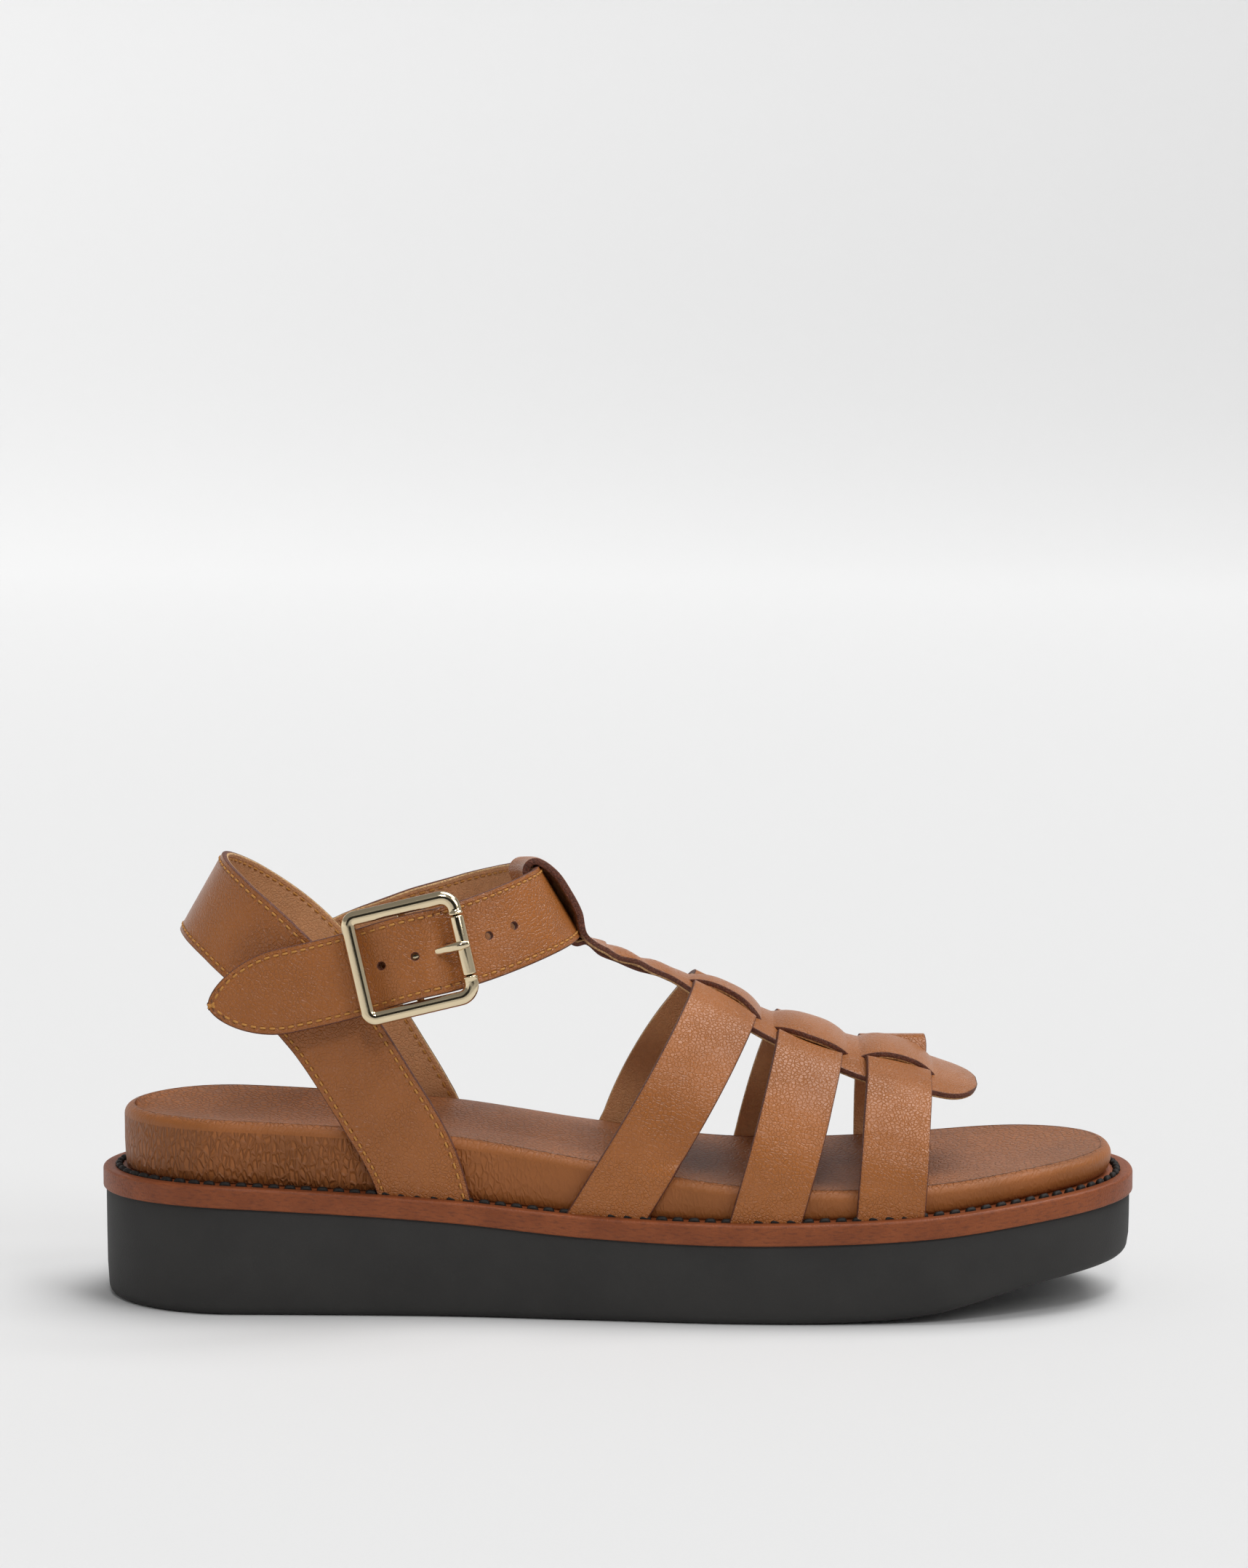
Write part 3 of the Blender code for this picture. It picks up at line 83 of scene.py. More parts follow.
# %% Smooth curves
def curve_through(xs, ys, x):
    """Cubic pieces through (xs, ys), read at x: each piece starts and ends with the mean slope
    at its points, and beyond the ends the curve goes on straight."""
    xs, ys, x = (np.asarray(values, float) for values in (xs, ys, x))
    slopes = np.gradient(ys, xs)
    k = np.clip(np.searchsorted(xs, x) - 1, 0, len(xs) - 2)
    step = xs[k + 1] - xs[k]
    t = np.clip((x - xs[k]) / step, 0.0, 1.0)
    rise = (2 * t**3 - 3 * t**2 + 1) * ys[k] + (3 * t**2 - 2 * t**3) * ys[k + 1]
    bend = (t**3 - 2 * t**2 + t) * slopes[k] + (t**3 - t**2) * slopes[k + 1]
    beyond = np.minimum(x - xs[0], 0.0) * slopes[0] + np.maximum(x - xs[-1], 0.0) * slopes[-1]
    return rise + bend * step + beyond


def column(table, index):
    """One column of a table."""
    return np.array([row[index] for row in table], float)


def smooth_step(t):
    """3t^2 - 2t^3: 0 below 0, 1 above 1, and level at both ends."""
    t = np.clip(t, 0.0, 1.0)
    return t * t * (3 - 2 * t)


def unit(vectors):
    """Vectors at length one."""
    return vectors / np.maximum(np.linalg.norm(vectors, axis=-1, keepdims=True), 1e-12)


def lengths_along(points):
    """The distance along a line at each of its points."""
    steps = np.linalg.norm(np.diff(points, axis=0), axis=1)
    return np.concatenate([[0.0], np.cumsum(steps)])


def read_along(values, lengths, at):
    """Rows of values, read at distances along a line. The distances may be a grid."""
    return np.stack([np.interp(at, lengths, values[:, k]) for k in range(values.shape[1])], axis=-1)


def smooth_line(points, count):
    """A smooth line through a few points, read at even distances."""
    lengths = lengths_along(points[:, :3])
    at = np.linspace(0.0, lengths[-1], count)
    return np.column_stack([curve_through(lengths, points[:, k], at) for k in range(points.shape[1])])


print("a curve from 0 over 1 to 0 starts with", float(curve_through([0, 1, 2], [0, 1, 0], 0.5)), "at 0.5")

# %% [markdown]
# ## The sole's outline
# The sole is one outline seen from above, and everything in it is that outline moved inwards.
# The half widths of the two sides are read from sections along the foot, and the heel and the
# toe are rounded off with a superellipse, whose power sets how full the round is.

# %% Sole sections
LENGTH = 265.0 * MM
BALL_WIDTH = 97.0 * MM
PLATFORM_HEIGHT = 27.8 * MM
TOE_SPRING = 11.5 * MM
HEEL_CURVE = 36.0 * MM
TOE_CURVE = 58.0 * MM
HEEL_POWER = 2.0
TOE_POWER = 2.3
SOLE_STEP = 0.8 * MM
WELT_THICKNESS = 5.4 * MM
WELT_WIDTH = 12.0 * MM
FOOTBED_INSET = 5.6 * MM
FOOTBED_SIDE = 15.6 * MM
HEEL_CUP = 4.2 * MM
ARCH_RISE = 3.4 * MM
FOOTBED_GAP = 0.3 * MM
STATIONS = 280

SOLE_SECTIONS = (
    # place, lateral, medial, spring, platform, side
    (0.00, 0.362, 0.362, 0.00, 1.000, 1.00),
    (0.10, 0.368, 0.366, 0.00, 1.000, 1.00),
    (0.20, 0.374, 0.366, 0.00, 0.960, 1.00),
    (0.34, 0.392, 0.352, 0.00, 0.878, 0.98),
    (0.47, 0.440, 0.352, 0.00, 0.772, 0.83),
    (0.61, 0.491, 0.424, 0.00, 0.731, 0.54),
    (0.69, 0.500, 0.478, 0.02, 0.742, 0.45),
    (0.79, 0.488, 0.500, 0.17, 0.785, 0.43),
    (0.90, 0.452, 0.490, 0.74, 0.890, 0.44),
    (1.00, 0.420, 0.470, 1.00, 0.975, 0.43),
)
LATERAL, MEDIAL, SPRING, PLATFORM, SIDE = range(1, 6)


def place_to_x(place):
    """A share of the length, counted from the heel, as a distance from the sole's middle."""
    return (np.asarray(place, float) - 0.5) * LENGTH


def x_to_place(x):
    """A distance from the sole's middle as a share of the length, counted from the heel."""
    return x / LENGTH + 0.5


def table_at(table, index, x):
    """A column of a table whose first column is the place, read at x."""
    return curve_through(column(table, 0), column(table, index), x_to_place(x))


def sole_column(index, x):
    """A column of SOLE_SECTIONS at the distance x from the sole's middle."""
    return table_at(SOLE_SECTIONS, index, x)


def rounded_end(share, power):
    """A superellipse: (1 - (1 - share)^power)^(1 / power), 0 at the end and 1 past its curve."""
    return (1 - (1 - np.clip(share, 0.0, 1.0)) ** power) ** (1 / power)


def half_width(side, x):
    """The side's half width times a superellipse at the heel and one at the toe."""
    heel = rounded_end((x + LENGTH / 2) / HEEL_CURVE, HEEL_POWER)
    toe = rounded_end((LENGTH / 2 - x) / TOE_CURVE, TOE_POWER)
    return sole_column(side, x) * BALL_WIDTH * heel * toe


def bottom_height(x):
    """The tread: flat to the ball, then the toe spring."""
    return np.maximum(sole_column(SPRING, x), 0.0) * TOE_SPRING


def platform_top(x):
    """The outsole's upper face."""
    return sole_column(PLATFORM, x) * PLATFORM_HEIGHT


def welt_top(x):
    """The welt's upper face."""
    return platform_top(x) + WELT_THICKNESS


def rim_height(x):
    """The footbed's upper edge."""
    return welt_top(x) + FOOTBED_GAP + sole_column(SIDE, x) * FOOTBED_SIDE


def outline(inset, stations=STATIONS):
    """The outline moved inwards: each point goes along the normal of the closed curve. The
    first point is repeated at the end, so that a strip wraps round without a seam."""
    turn = np.linspace(0.0, math.pi, stations + 1)
    x = -np.cos(turn) * LENGTH / 2
    lateral = np.column_stack([x, -half_width(LATERAL, x)])
    medial = np.column_stack([x, half_width(MEDIAL, x)])[-2:0:-1]
    points = np.vstack([lateral, medial])
    along = unit(np.roll(points, -1, axis=0) - np.roll(points, 1, axis=0))
    inwards = np.column_stack([-along[:, 1], along[:, 0]])
    moved = points + inwards * np.asarray(inset).reshape(-1, 1)
    return np.vstack([moved, moved[:1]])


print("welt outline in mm:", np.ptp(outline(0.0), axis=0).round(4) / MM)

# %% [markdown]
# ## Grids into meshes
# A surface here is a grid of points, worked out as a whole array. A piece is a few such
# patches whose edges meet: the patches are put into one mesh, and the points that coincide
# are merged, which closes the seams and the poles. Each patch also carries its UV map, in
# metres, and named fields that the materials read.

# %% Patches and pieces
SEAM = 2e-6
FINE_SEAM = 1e-7


def grid_numbers(rows, columns):
    """The numbers of a grid's points, row by row."""
    return np.arange(rows * columns).reshape(rows, columns)


def grid_quads(index):
    """Quads of a grid of point numbers."""
    return np.stack([index[:-1, :-1], index[1:, :-1], index[1:, 1:], index[:-1, 1:]], axis=-1).reshape(-1, 4)


def patch(points, uv, flip=False, **fields):
    """A grid of points (rows, columns, 3), its UV (rows, columns, 2) and fields on it."""
    rows, columns = points.shape[:2]
    quads = grid_quads(grid_numbers(rows, columns))
    if flip:
        quads = quads[:, ::-1]
    values = {name: np.broadcast_to(field, (rows, columns)).ravel() for name, field in fields.items()}
    return {"points": points.reshape(-1, 3), "quads": quads, "uv": uv.reshape(-1, 2), "fields": values}


def piece(name, patches, finish, merge=SEAM):
    """One smooth mesh object made of patches, with the points that coincide merged."""
    start = np.cumsum([0] + [len(p["points"]) for p in patches])
    points = np.vstack([p["points"] for p in patches])
    quads = np.vstack([p["quads"] + s for p, s in zip(patches, start)])
    mesh = bpy.data.meshes.new(name)
    mesh.from_pydata(points.tolist(), [], quads.tolist())
    corners = quads.ravel()
    layer = mesh.uv_layers.new(name="strap")
    uv = np.vstack([p["uv"] for p in patches])
    layer.data.foreach_set("uv", uv[corners].astype(np.float32).ravel())
    for field in sorted({key for p in patches for key in p["fields"]}):
        values = np.concatenate([p["fields"].get(field, np.zeros(len(p["points"]))) for p in patches])
        held = mesh.attributes.new(field, "FLOAT", "CORNER")
        held.data.foreach_set("value", values[corners].astype(np.float32))
    made = bpy.data.objects.new(name, mesh)
    scene.collection.objects.link(made)
    close_seams(mesh, merge)
    mesh.shade_smooth()
    mesh.materials.append(finish)
    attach(made, "root")
    print(name, len(mesh.polygons), "faces")
    return made


def close_seams(mesh, distance):
    """Merges points that coincide and drops the faces that this flattens."""
    work = bmesh.new()
    work.from_mesh(mesh)
    bmesh.ops.remove_doubles(work, verts=work.verts, dist=distance)
    work.to_mesh(mesh)
    work.free()


print("a grid of 3 by 4 points has", len(grid_quads(grid_numbers(3, 4))), "quads")

# %% [markdown]
# ## Shader maths
# Blender adds two numbers in a shader with a Math node. The class below wraps a socket, so
# that an expression such as `1 - mask * 0.5` adds those nodes by itself.

# %% Shader values
class Value:
    """A number in a shader, which can be used in Python expressions."""

    def __init__(self, finish, socket):
        self.finish = finish
        self.socket = socket

    def math(self, operation, *others):
        sockets = dict(enumerate((self, *others)))
        node = self.finish.add("ShaderNodeMath", {"operation": operation}, sockets)
        return Value(self.finish, node.outputs[0])

    def __add__(self, other):
        return self.math("ADD", other)

    def __sub__(self, other):
        return self.math("SUBTRACT", other)

    def __rsub__(self, other):
        return (self * -1.0).math("ADD", other)

    def __mul__(self, other):
        return self.math("MULTIPLY", other)

    def __truediv__(self, other):
        return self.math("DIVIDE", other)

    __radd__ = __add__
    __rmul__ = __mul__

    def step(self, low, high):
        """0 at low, 1 at high, and a soft step between."""
        settings = {"interpolation_type": "SMOOTHSTEP"}
        sockets = {"Value": self, "From Min": low, "From Max": high}
        node = self.finish.add("ShaderNodeMapRange", settings, sockets)
        return Value(self.finish, node.outputs["Result"])


class Finish:
    """A material under construction."""

    def __init__(self, name):
        self.material = bpy.data.materials.new(name)
        self.material.use_nodes = True
        self.tree = self.material.node_tree
        self.shader = self.tree.nodes["Principled BSDF"]
        self.coordinates = self.add("ShaderNodeTexCoord", {}, {})

    def add(self, kind, settings, sockets):
        """A node: its settings first, then the values or links of its sockets."""
        node = self.tree.nodes.new(kind)
        for key, value in settings.items():
            setattr(node, key, value)
        for key, value in sockets.items():
            self.put(node.inputs[key], value)
        return node

    def put(self, socket, value):
        """Links a value to a socket, or sets the socket's own number or colour."""
        if isinstance(value, Value):
            self.tree.links.new(value.socket, socket)
        elif isinstance(value, bpy.types.NodeSocket):
            self.tree.links.new(value, socket)
        elif isinstance(value, (tuple, list)) and len(value) == 3 and socket.type == "RGBA":
            socket.default_value = (*value, 1.0)
        else:
            socket.default_value = value

    def field(self, name):
        """A field that the patches carry."""
        node = self.add("ShaderNodeAttribute", {"attribute_name": name}, {})
        return Value(self, node.outputs["Fac"])

    def along(self):
        """The piece's UV map as two values, in metres along and across."""
        node = self.add("ShaderNodeSeparateXYZ", {}, {0: self.coordinates.outputs["UV"]})
        return Value(self, node.outputs[0]), Value(self, node.outputs[1])

    def noise(self, size, detail=3.0, vector=None):
        """Soft noise whose blobs are about size metres, from 0 to 1."""
        vector = vector or self.coordinates.outputs["Object"]
        sockets = {"Vector": vector, "Scale": 1.0 / size, "Detail": detail}
        return Value(self, self.add("ShaderNodeTexNoise", {}, sockets).outputs["Fac"])

    def cells(self, size, vector):
        """A pattern of cells about size metres wide: the distance to their edges."""
        sockets = {"Vector": vector, "Scale": 1.0 / size}
        node = self.add("ShaderNodeTexVoronoi", {"feature": "DISTANCE_TO_EDGE"}, sockets)
        return Value(self, node.outputs["Distance"])

    def stretched(self, output, scale):
        """Coordinates stretched by scale, each way."""
        sockets = {"Vector": self.coordinates.outputs[output], "Scale": scale}
        return self.add("ShaderNodeMapping", {}, sockets).outputs["Vector"]

    def warped(self, vector, size, amount):
        """Coordinates pushed about by noise, so that a pattern on them isn't regular."""
        noise = self.add("ShaderNodeTexNoise", {}, {"Vector": vector, "Scale": 1.0 / size, "Detail": 2.0})
        push = noise.outputs["Color"]
        for operation, sockets in (("SUBTRACT", {1: (0.5, 0.5, 0.5)}), ("SCALE", {"Scale": amount}),
                                   ("ADD", {1: vector})):
            push = self.add("ShaderNodeVectorMath", {"operation": operation}, {0: push, **sockets}).outputs[0]
        return push

    def mix(self, factor, low, high):
        """A colour between two colours."""
        node = self.add("ShaderNodeMix", {"data_type": "RGBA"}, {0: factor, 6: low, 7: high})
        return node.outputs[2]

    def bump(self, height, depth, strength):
        """A normal from a height of 0 to 1 that stands for depth metres."""
        sockets = {"Height": height, "Distance": depth, "Strength": strength}
        return self.add("ShaderNodeBump", {}, sockets).outputs["Normal"]

    def set(self, **values):
        """Sets the shader's sockets, named with _ for a space."""
        for key, value in values.items():
            self.put(self.shader.inputs[key.replace("_", " ")], value)


print("a finish can add:", ", ".join(name for name in vars(Finish) if not name.startswith("_")))

# %% [markdown]
# ## Tan leather
# Vegetable-tanned hide has fine pebbles that open up where it bends, slow patches of colour,
# and a soft shine. Its cut edges are painted dark brown, with the pale lining showing as a
# thin line, and the flesh side is lighter. The straps carry a field `depth`, 0 on the grain
# side and 1 on the lining, and a field `rim`, 1 on the cut edge, which place those colours. An
# image could hold all this, but a pattern worked out in the shader stays sharp close up. The
# lining's line ends where the spine's loop begins, because the loop is folded and painted.

# %% Leather finishes
TAN = (0.370, 0.122, 0.025)
TAN_DARK = (0.305, 0.098, 0.019)
EDGE_PAINT = (0.085, 0.026, 0.013)
EDGE_LINING = (0.62, 0.38, 0.17)
FLESH = (0.640, 0.320, 0.145)
# painted shade for the inside of the stitch holes
HOLE_SHADE = (0.05, 0.018, 0.008)
STITCH_MARGIN = 1.5 * MM
STITCH_PITCH = 2.35 * MM
STITCH_GROOVE = 0.42 * MM
STITCH_HOLE = 0.28 * MM
STRAP_PEBBLE = 0.95 * MM
GRAIN_DEPTH = 0.20 * MM
EDGE_FADE = 0.7 * MM
LINED_TO = 0.108
LINING_FADE = 6 * MM


def shade(colour, factor):
    """A colour made darker or lighter by a factor."""
    return tuple(part * factor for part in colour)


def strap_leather(name, stitched, shaded_tone=1.0, lined_to=1.0):
    """Leather for a strap: grain, slow colour, painted edges, lining and stitch holes. The
    lining shows on the edge up to lined_to metres along the strap."""
    finish = Finish(name)
    u = finish.along()[0]
    rim = finish.field("rim")
    depth = finish.field("depth")
    margin = finish.field("margin")
    place = finish.warped(finish.coordinates.outputs["Object"], 4.0 * MM, 0.9 * MM)
    pebbles = finish.cells(STRAP_PEBBLE, place).step(0.0, 0.18)
    fine = finish.noise(0.35 * MM, 3.0)
    slow = finish.noise(24.0 * MM, 2.0).step(0.25, 0.75)
    open_grain = finish.noise(11.0 * MM, 2.0).step(0.40, 0.62)
    pull = finish.warped(finish.stretched("UV", (60.0, 900.0, 1.0)), 1.0, 0.6)
    creases = finish.noise(1 / 0.35, 3.0, pull)

    shadow = shade(TAN, 0.5)
    # painted shade: shaded_tone below one darkens the whole leather, for a strap that lies more in shade
    tan = finish.mix(slow, shade(TAN_DARK, shaded_tone), shade(TAN, shaded_tone))
    tan = finish.mix((1 - pebbles) * (0.09 + 0.06 * open_grain), tan, shadow)
    tan = finish.mix((1 - margin.step(0.0, EDGE_FADE)) * 0.30, tan, shadow)
    height = pebbles * (0.60 + 0.25 * open_grain) * 0.75 + fine * 0.30 + creases * 0.15
    if stitched:
        across = (margin - STITCH_MARGIN) / STITCH_GROOVE
        groove = 1 - (across * across).step(0.0, 1.6)
        phase = (u / STITCH_PITCH).math("FRACT") - 0.5
        near = phase * (STITCH_PITCH / STITCH_HOLE)
        hole = 1 - (near * near + across * across * 0.8).step(0.4, 1.2)
        tan = finish.mix(groove * 0.15, tan, shadow)
        # painted shade: each stitch hole is painted dark, for the shade inside it
        tan = finish.mix(hole * 0.50, tan, HOLE_SHADE)
        height = height - groove * 0.8 - hole * 1.6

    fibres = finish.noise(0.5 * MM, 4.0)
    paint = finish.mix(fibres.step(0.35, 0.75), EDGE_PAINT, shade(EDGE_PAINT, 2.1))
    lining_line = depth.step(0.66, 0.74) * (0.55 + 0.45 * finish.noise(0.7 * MM, 3.0).step(0.35, 0.6))
    lining_line = lining_line * (1 - u.step(lined_to, lined_to + LINING_FADE))
    edge = finish.mix(lining_line, paint, EDGE_LINING)
    flesh = finish.mix(finish.noise(1.2 * MM, 4.0), shade(FLESH, 0.75), FLESH)
    lined = depth.step(0.97, 1.0)
    colour = finish.mix(rim.step(0.25, 0.75), finish.mix(lined, tan, flesh), edge)
    rough = 0.27 + 0.08 * finish.noise(1.0 * MM, 3.0) + rim * 0.25 + lined * 0.20
    normal = finish.bump(height, GRAIN_DEPTH, 0.9)
    finish.set(Base_Color=colour, Roughness=rough, Normal=normal, Specular_IOR_Level=0.42)
    return finish.material


band_leather = strap_leather("band_leather", stitched=False)
spine_leather = strap_leather("spine_leather", stitched=False, lined_to=LINED_TO)
# The heel and ankle straps get a darker copy of the same leather: painted shade.
stitched_leather = strap_leather("stitched_leather", stitched=True, shaded_tone=0.94)
print("leathers:", [made.name for made in (band_leather, spine_leather, stitched_leather)])

# %% [markdown]
# ## Footbed, welt, rubber and metal
# The footbed is wrapped in a softer, pebbled hide that wrinkles upright where it is pulled
# round the heel. The welt is a redder strip with a sanded cut side. The platform is foamed
# rubber, moulded matte. The buckle is polished and plated in pale gold.

# %% Other finishes
def footbed_leather():
    """Leather over the footbed: pebbled on top, wrinkled on the side, with painted shade between the pebbles
    and in the wrinkles' creases.
    """
    finish = Finish("footbed_leather")
    top = finish.field("top")
    place = finish.warped(finish.coordinates.outputs["Object"], 5.0 * MM, 1.6 * MM)
    pebbles = finish.cells(1.5 * MM, place).step(0.0, 0.22)
    fine = finish.noise(0.4 * MM, 3.0)
    slow = finish.noise(22.0 * MM, 2.0).step(0.3, 0.7)
    wrinkle_place = finish.warped(finish.stretched("UV", (1.0, 0.42, 1.0)), 3.0 * MM, 1.4 * MM)
    wrinkles = finish.cells(1.25 * MM, wrinkle_place).step(0.0, 0.26)
    wrinkled = finish.field("wrinkled")
    side = finish.mix(slow, (0.265, 0.090, 0.022), (0.320, 0.108, 0.028))
    # painted shade: the creases between the wrinkles on the heel's side are painted darker
    side = finish.mix((1 - wrinkles) * wrinkled * 0.30, side, (0.110, 0.040, 0.016))
    above = finish.mix(slow, (0.270, 0.092, 0.026), (0.325, 0.112, 0.032))
    # painted shade: the hollows between the pebbles on top are painted darker
    above = finish.mix((1 - pebbles) * 0.40, above, (0.090, 0.036, 0.016))
    colour = finish.mix(top, side, above)
    height = top * pebbles * 0.8 + (1 - top) * (0.2 + wrinkled) * wrinkles * 1.1 + fine * 0.25
    rough = 0.42 + 0.08 * fine
    normal = finish.bump(height, 0.32 * MM, 0.9)
    finish.set(Base_Color=colour, Roughness=rough, Normal=normal, Specular_IOR_Level=0.28)
    return finish.material


def welt_leather():
    """The welt: reddish leather with long pores and streaks of darker fibre."""
    finish = Finish("welt_leather")
    slow = finish.noise(9.0 * MM, 3.0).step(0.3, 0.7)
    fibres = finish.noise(0.55 * MM, 4.0, finish.stretched("UV", (0.25, 1.0, 1.0)))
    colour = finish.mix(slow, (0.200, 0.050, 0.014), (0.250, 0.066, 0.019))
    colour = finish.mix(fibres.step(0.45, 0.75) * 0.5, colour, (0.075, 0.022, 0.013))
    pores = finish.cells(1.1 * MM, finish.coordinates.outputs["Object"]).step(0.0, 0.2)
    normal = finish.bump(fibres * 0.6 + pores * 0.4, 0.12 * MM, 0.7)
    rough = 0.42 + 0.12 * fibres
    finish.set(Base_Color=colour, Roughness=rough, Normal=normal, Specular_IOR_Level=0.28)
    return finish.material


def foamed_rubber():
    """The platform: charcoal, matte, with the fine skin of moulded foam."""
    finish = Finish("foamed_rubber")
    skin = finish.noise(0.45 * MM, 4.0)
    slow = finish.noise(18.0 * MM, 2.0).step(0.3, 0.7)
    colour = finish.mix(slow, (0.0235, 0.0225, 0.0215), (0.0285, 0.0272, 0.0258))
    colour = finish.mix(skin.step(0.62, 0.8) * 0.3, colour, (0.05, 0.048, 0.045))
    normal = finish.bump(skin, 0.10 * MM, 0.6)
    rough = 0.62 + 0.10 * skin
    finish.set(Base_Color=colour, Roughness=rough, Normal=normal, Specular_IOR_Level=0.3)
    return finish.material


def gold_plate():
    """Pale gold plating: polished, with hairline scratches that vary the gloss."""
    finish = Finish("gold_plate")
    hairs = finish.noise(0.3 * MM, 4.0, finish.stretched("Object", (1.0, 1.0, 6.0)))
    slow = finish.noise(6.0 * MM, 2.0)
    colour = finish.mix(slow, (0.74, 0.61, 0.40), (0.82, 0.69, 0.47))
    normal = finish.bump(hairs, 0.01 * MM, 0.3)
    finish.set(Base_Color=colour, Metallic=1.0, Roughness=0.06 + 0.05 * hairs, Normal=normal)
    return finish.material


def thread(name, dark, light, gloss):
    """Waxed thread: two slanting plies, with painted shade in the grooves between them."""
    finish = Finish(name)
    u, v = finish.along()
    plies = (u * 3.0 + v * 1.5).math("FRACT")
    ply_groove_and_shade = (plies - 0.5) * (plies - 0.5) * 4.0
    # painted shade: the grooves between the plies take the dark colour, their crowns the light one
    colour = finish.mix(ply_groove_and_shade, light, dark)
    normal = finish.bump(1 - ply_groove_and_shade, 0.08 * MM, 0.8)
    finish.set(Base_Color=colour, Roughness=gloss, Normal=normal, Specular_IOR_Level=0.25)
    return finish.material


footbed_finish = footbed_leather()
welt_finish = welt_leather()
rubber_finish = foamed_rubber()
gold_finish = gold_plate()
gold_thread = thread("gold_thread", (0.46, 0.21, 0.050), (0.92, 0.51, 0.15), 0.55)
black_thread = thread("black_thread", (0.010, 0.008, 0.007), (0.045, 0.036, 0.032), 0.6)
print("finishes in all:", len(bpy.data.materials))

# %% [markdown]
# ## Rings of the sole
# The platform, the welt and the footbed are each cut or moulded to the sole's outline. Each is
# a stack of rings here: the outline, moved in by some distance and set at a height that follows
# the length of the foot. An extruded outline would be simpler, but it couldn't follow the
# platform's fall from heel to ball and its spring at the toe. A cap closes a stack, rib by rib.

# %% Stacks of rings
def ring_stack(layers):
    """A patch round the sole: each layer is an inset and a height function."""
    rings, uv = [], []
    climb = 0.0
    before = None
    for inset, height in layers:
        ring = outline(inset)
        points = np.column_stack([ring, height(ring[:, 0])])
        if before is not None:
            climb = climb + np.linalg.norm(points - before, axis=1)
        rings.append(points)
        uv.append(np.column_stack([lengths_along(ring), np.broadcast_to(climb, len(ring))]))
        before = points
    return patch(np.array(rings), np.array(uv))


def cap(inset, height, ribs, flip=False, **fields):
    """A patch across a ring: ribs straight from each lateral point to the medial one."""
    ring = outline(inset)[:-1]
    lateral = ring[:STATIONS + 1]
    medial = np.vstack([ring[:1], ring[:STATIONS - 1:-1]])
    share = np.linspace(0.0, 1.0, ribs + 1)
    xy = lateral[:, None] + (medial - lateral)[:, None] * share[None, :, None]
    z = height(xy[..., 0], np.broadcast_to(share, xy.shape[:2]))
    points = np.concatenate([xy, z[..., None]], axis=2)
    return patch(points, xy, flip=flip, **fields)


def raised(height, rise):
    """A height function raised by rise."""
    return lambda x: height(x) + rise


def mixed(low, high, share):
    """A height a share of the way from low(x) to high(x)."""
    return lambda x: low(x) + (high(x) - low(x)) * share


def flat(height):
    """A cap height that only follows the length."""
    return lambda x, share: height(x)


def round_over(radius, steps):
    """A quarter round: pairs (in from the side, below the top) from the side to the top."""
    return [(radius * (1 - math.cos(a)), radius * (1 - math.sin(a)))
            for a in np.radians(np.linspace(0, 90, steps))]


print("a ring of the sole has", len(outline(0.0)), "points")

# %% [markdown]
# ## Platform
# The platform is one block of foamed rubber. Its side stands upright and stops a little inside
# the welt, and its lower edge is rounded, as it leaves the mould. The rounding is seven rings
# on a quarter circle. A Bevel modifier would round it too, but the rings are there already, and
# they give the edge's size in one named value.

# %% Platform
SOLE_EDGE = 2.6 * MM
SIDE_TAPER = 0.5 * MM

bottom = [(SOLE_STEP + SIDE_TAPER + inwards, raised(bottom_height, up))
          for up, inwards in round_over(SOLE_EDGE, 7)]
side = [
    # inset, height
    (SOLE_STEP + 0.15 * MM, mixed(bottom_height, platform_top, 0.3)),
    (SOLE_STEP + 0.05 * MM, mixed(bottom_height, platform_top, 0.6)),
    (SOLE_STEP, raised(platform_top, -0.5 * MM)),
    (SOLE_STEP + 0.4 * MM, platform_top),
]
outsole = piece("platform", [
    ring_stack(bottom + side),
    cap(bottom[0][0], flat(bottom_height), ribs=24, flip=True),
    cap(side[-1][0], flat(platform_top), ribs=24),
], rubber_finish)
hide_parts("outsole")

# %% [markdown]
# ## Welt
# The welt is a strip of leather laid round the upper, which the black thread holds down. Its
# outer edges are sanded round, and the thread lies in a shallow groove beside the footbed. The
# strip's section is a closed line of rings; carrying a flat profile along the outline would
# give the same, but the rings also follow the platform's height.

# %% Welt
WELT_EDGE = 0.8 * MM
LOWER_EDGE = 0.6 * WELT_EDGE
corner = [(inwards, raised(welt_top, -down)) for inwards, down in round_over(WELT_EDGE, 5)]
under = [(inwards, raised(platform_top, up)) for inwards, up in round_over(LOWER_EDGE, 4)[::-1]]
groove = [
    # inset, height
    (FOOTBED_INSET - 2.6 * MM, raised(welt_top, 0.05 * MM)),
    (FOOTBED_INSET - 2.1 * MM, raised(welt_top, -0.35 * MM)),
    (FOOTBED_INSET - 0.9 * MM, raised(welt_top, -0.40 * MM)),
    (FOOTBED_INSET - 0.4 * MM, raised(welt_top, -0.05 * MM)),
    (WELT_WIDTH, welt_top),
]
welt = piece("welt_strip", [
    ring_stack([(WELT_WIDTH, platform_top)] + under + corner + groove + [(WELT_WIDTH, platform_top)]),
], welt_finish)
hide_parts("welt")

# %% [markdown]
# ## Footbed
# A moulded core is wrapped in leather: its side stands upright, its rim is rounded, and its top
# is hollowed under the heel, the ball and the toes and raised under the arch. Sculpting would
# give such a top too, but four bells with a place, a reach and a depth can be named and changed.
# The leather of the side wrinkles round the heel, and the field `wrinkled` says where.

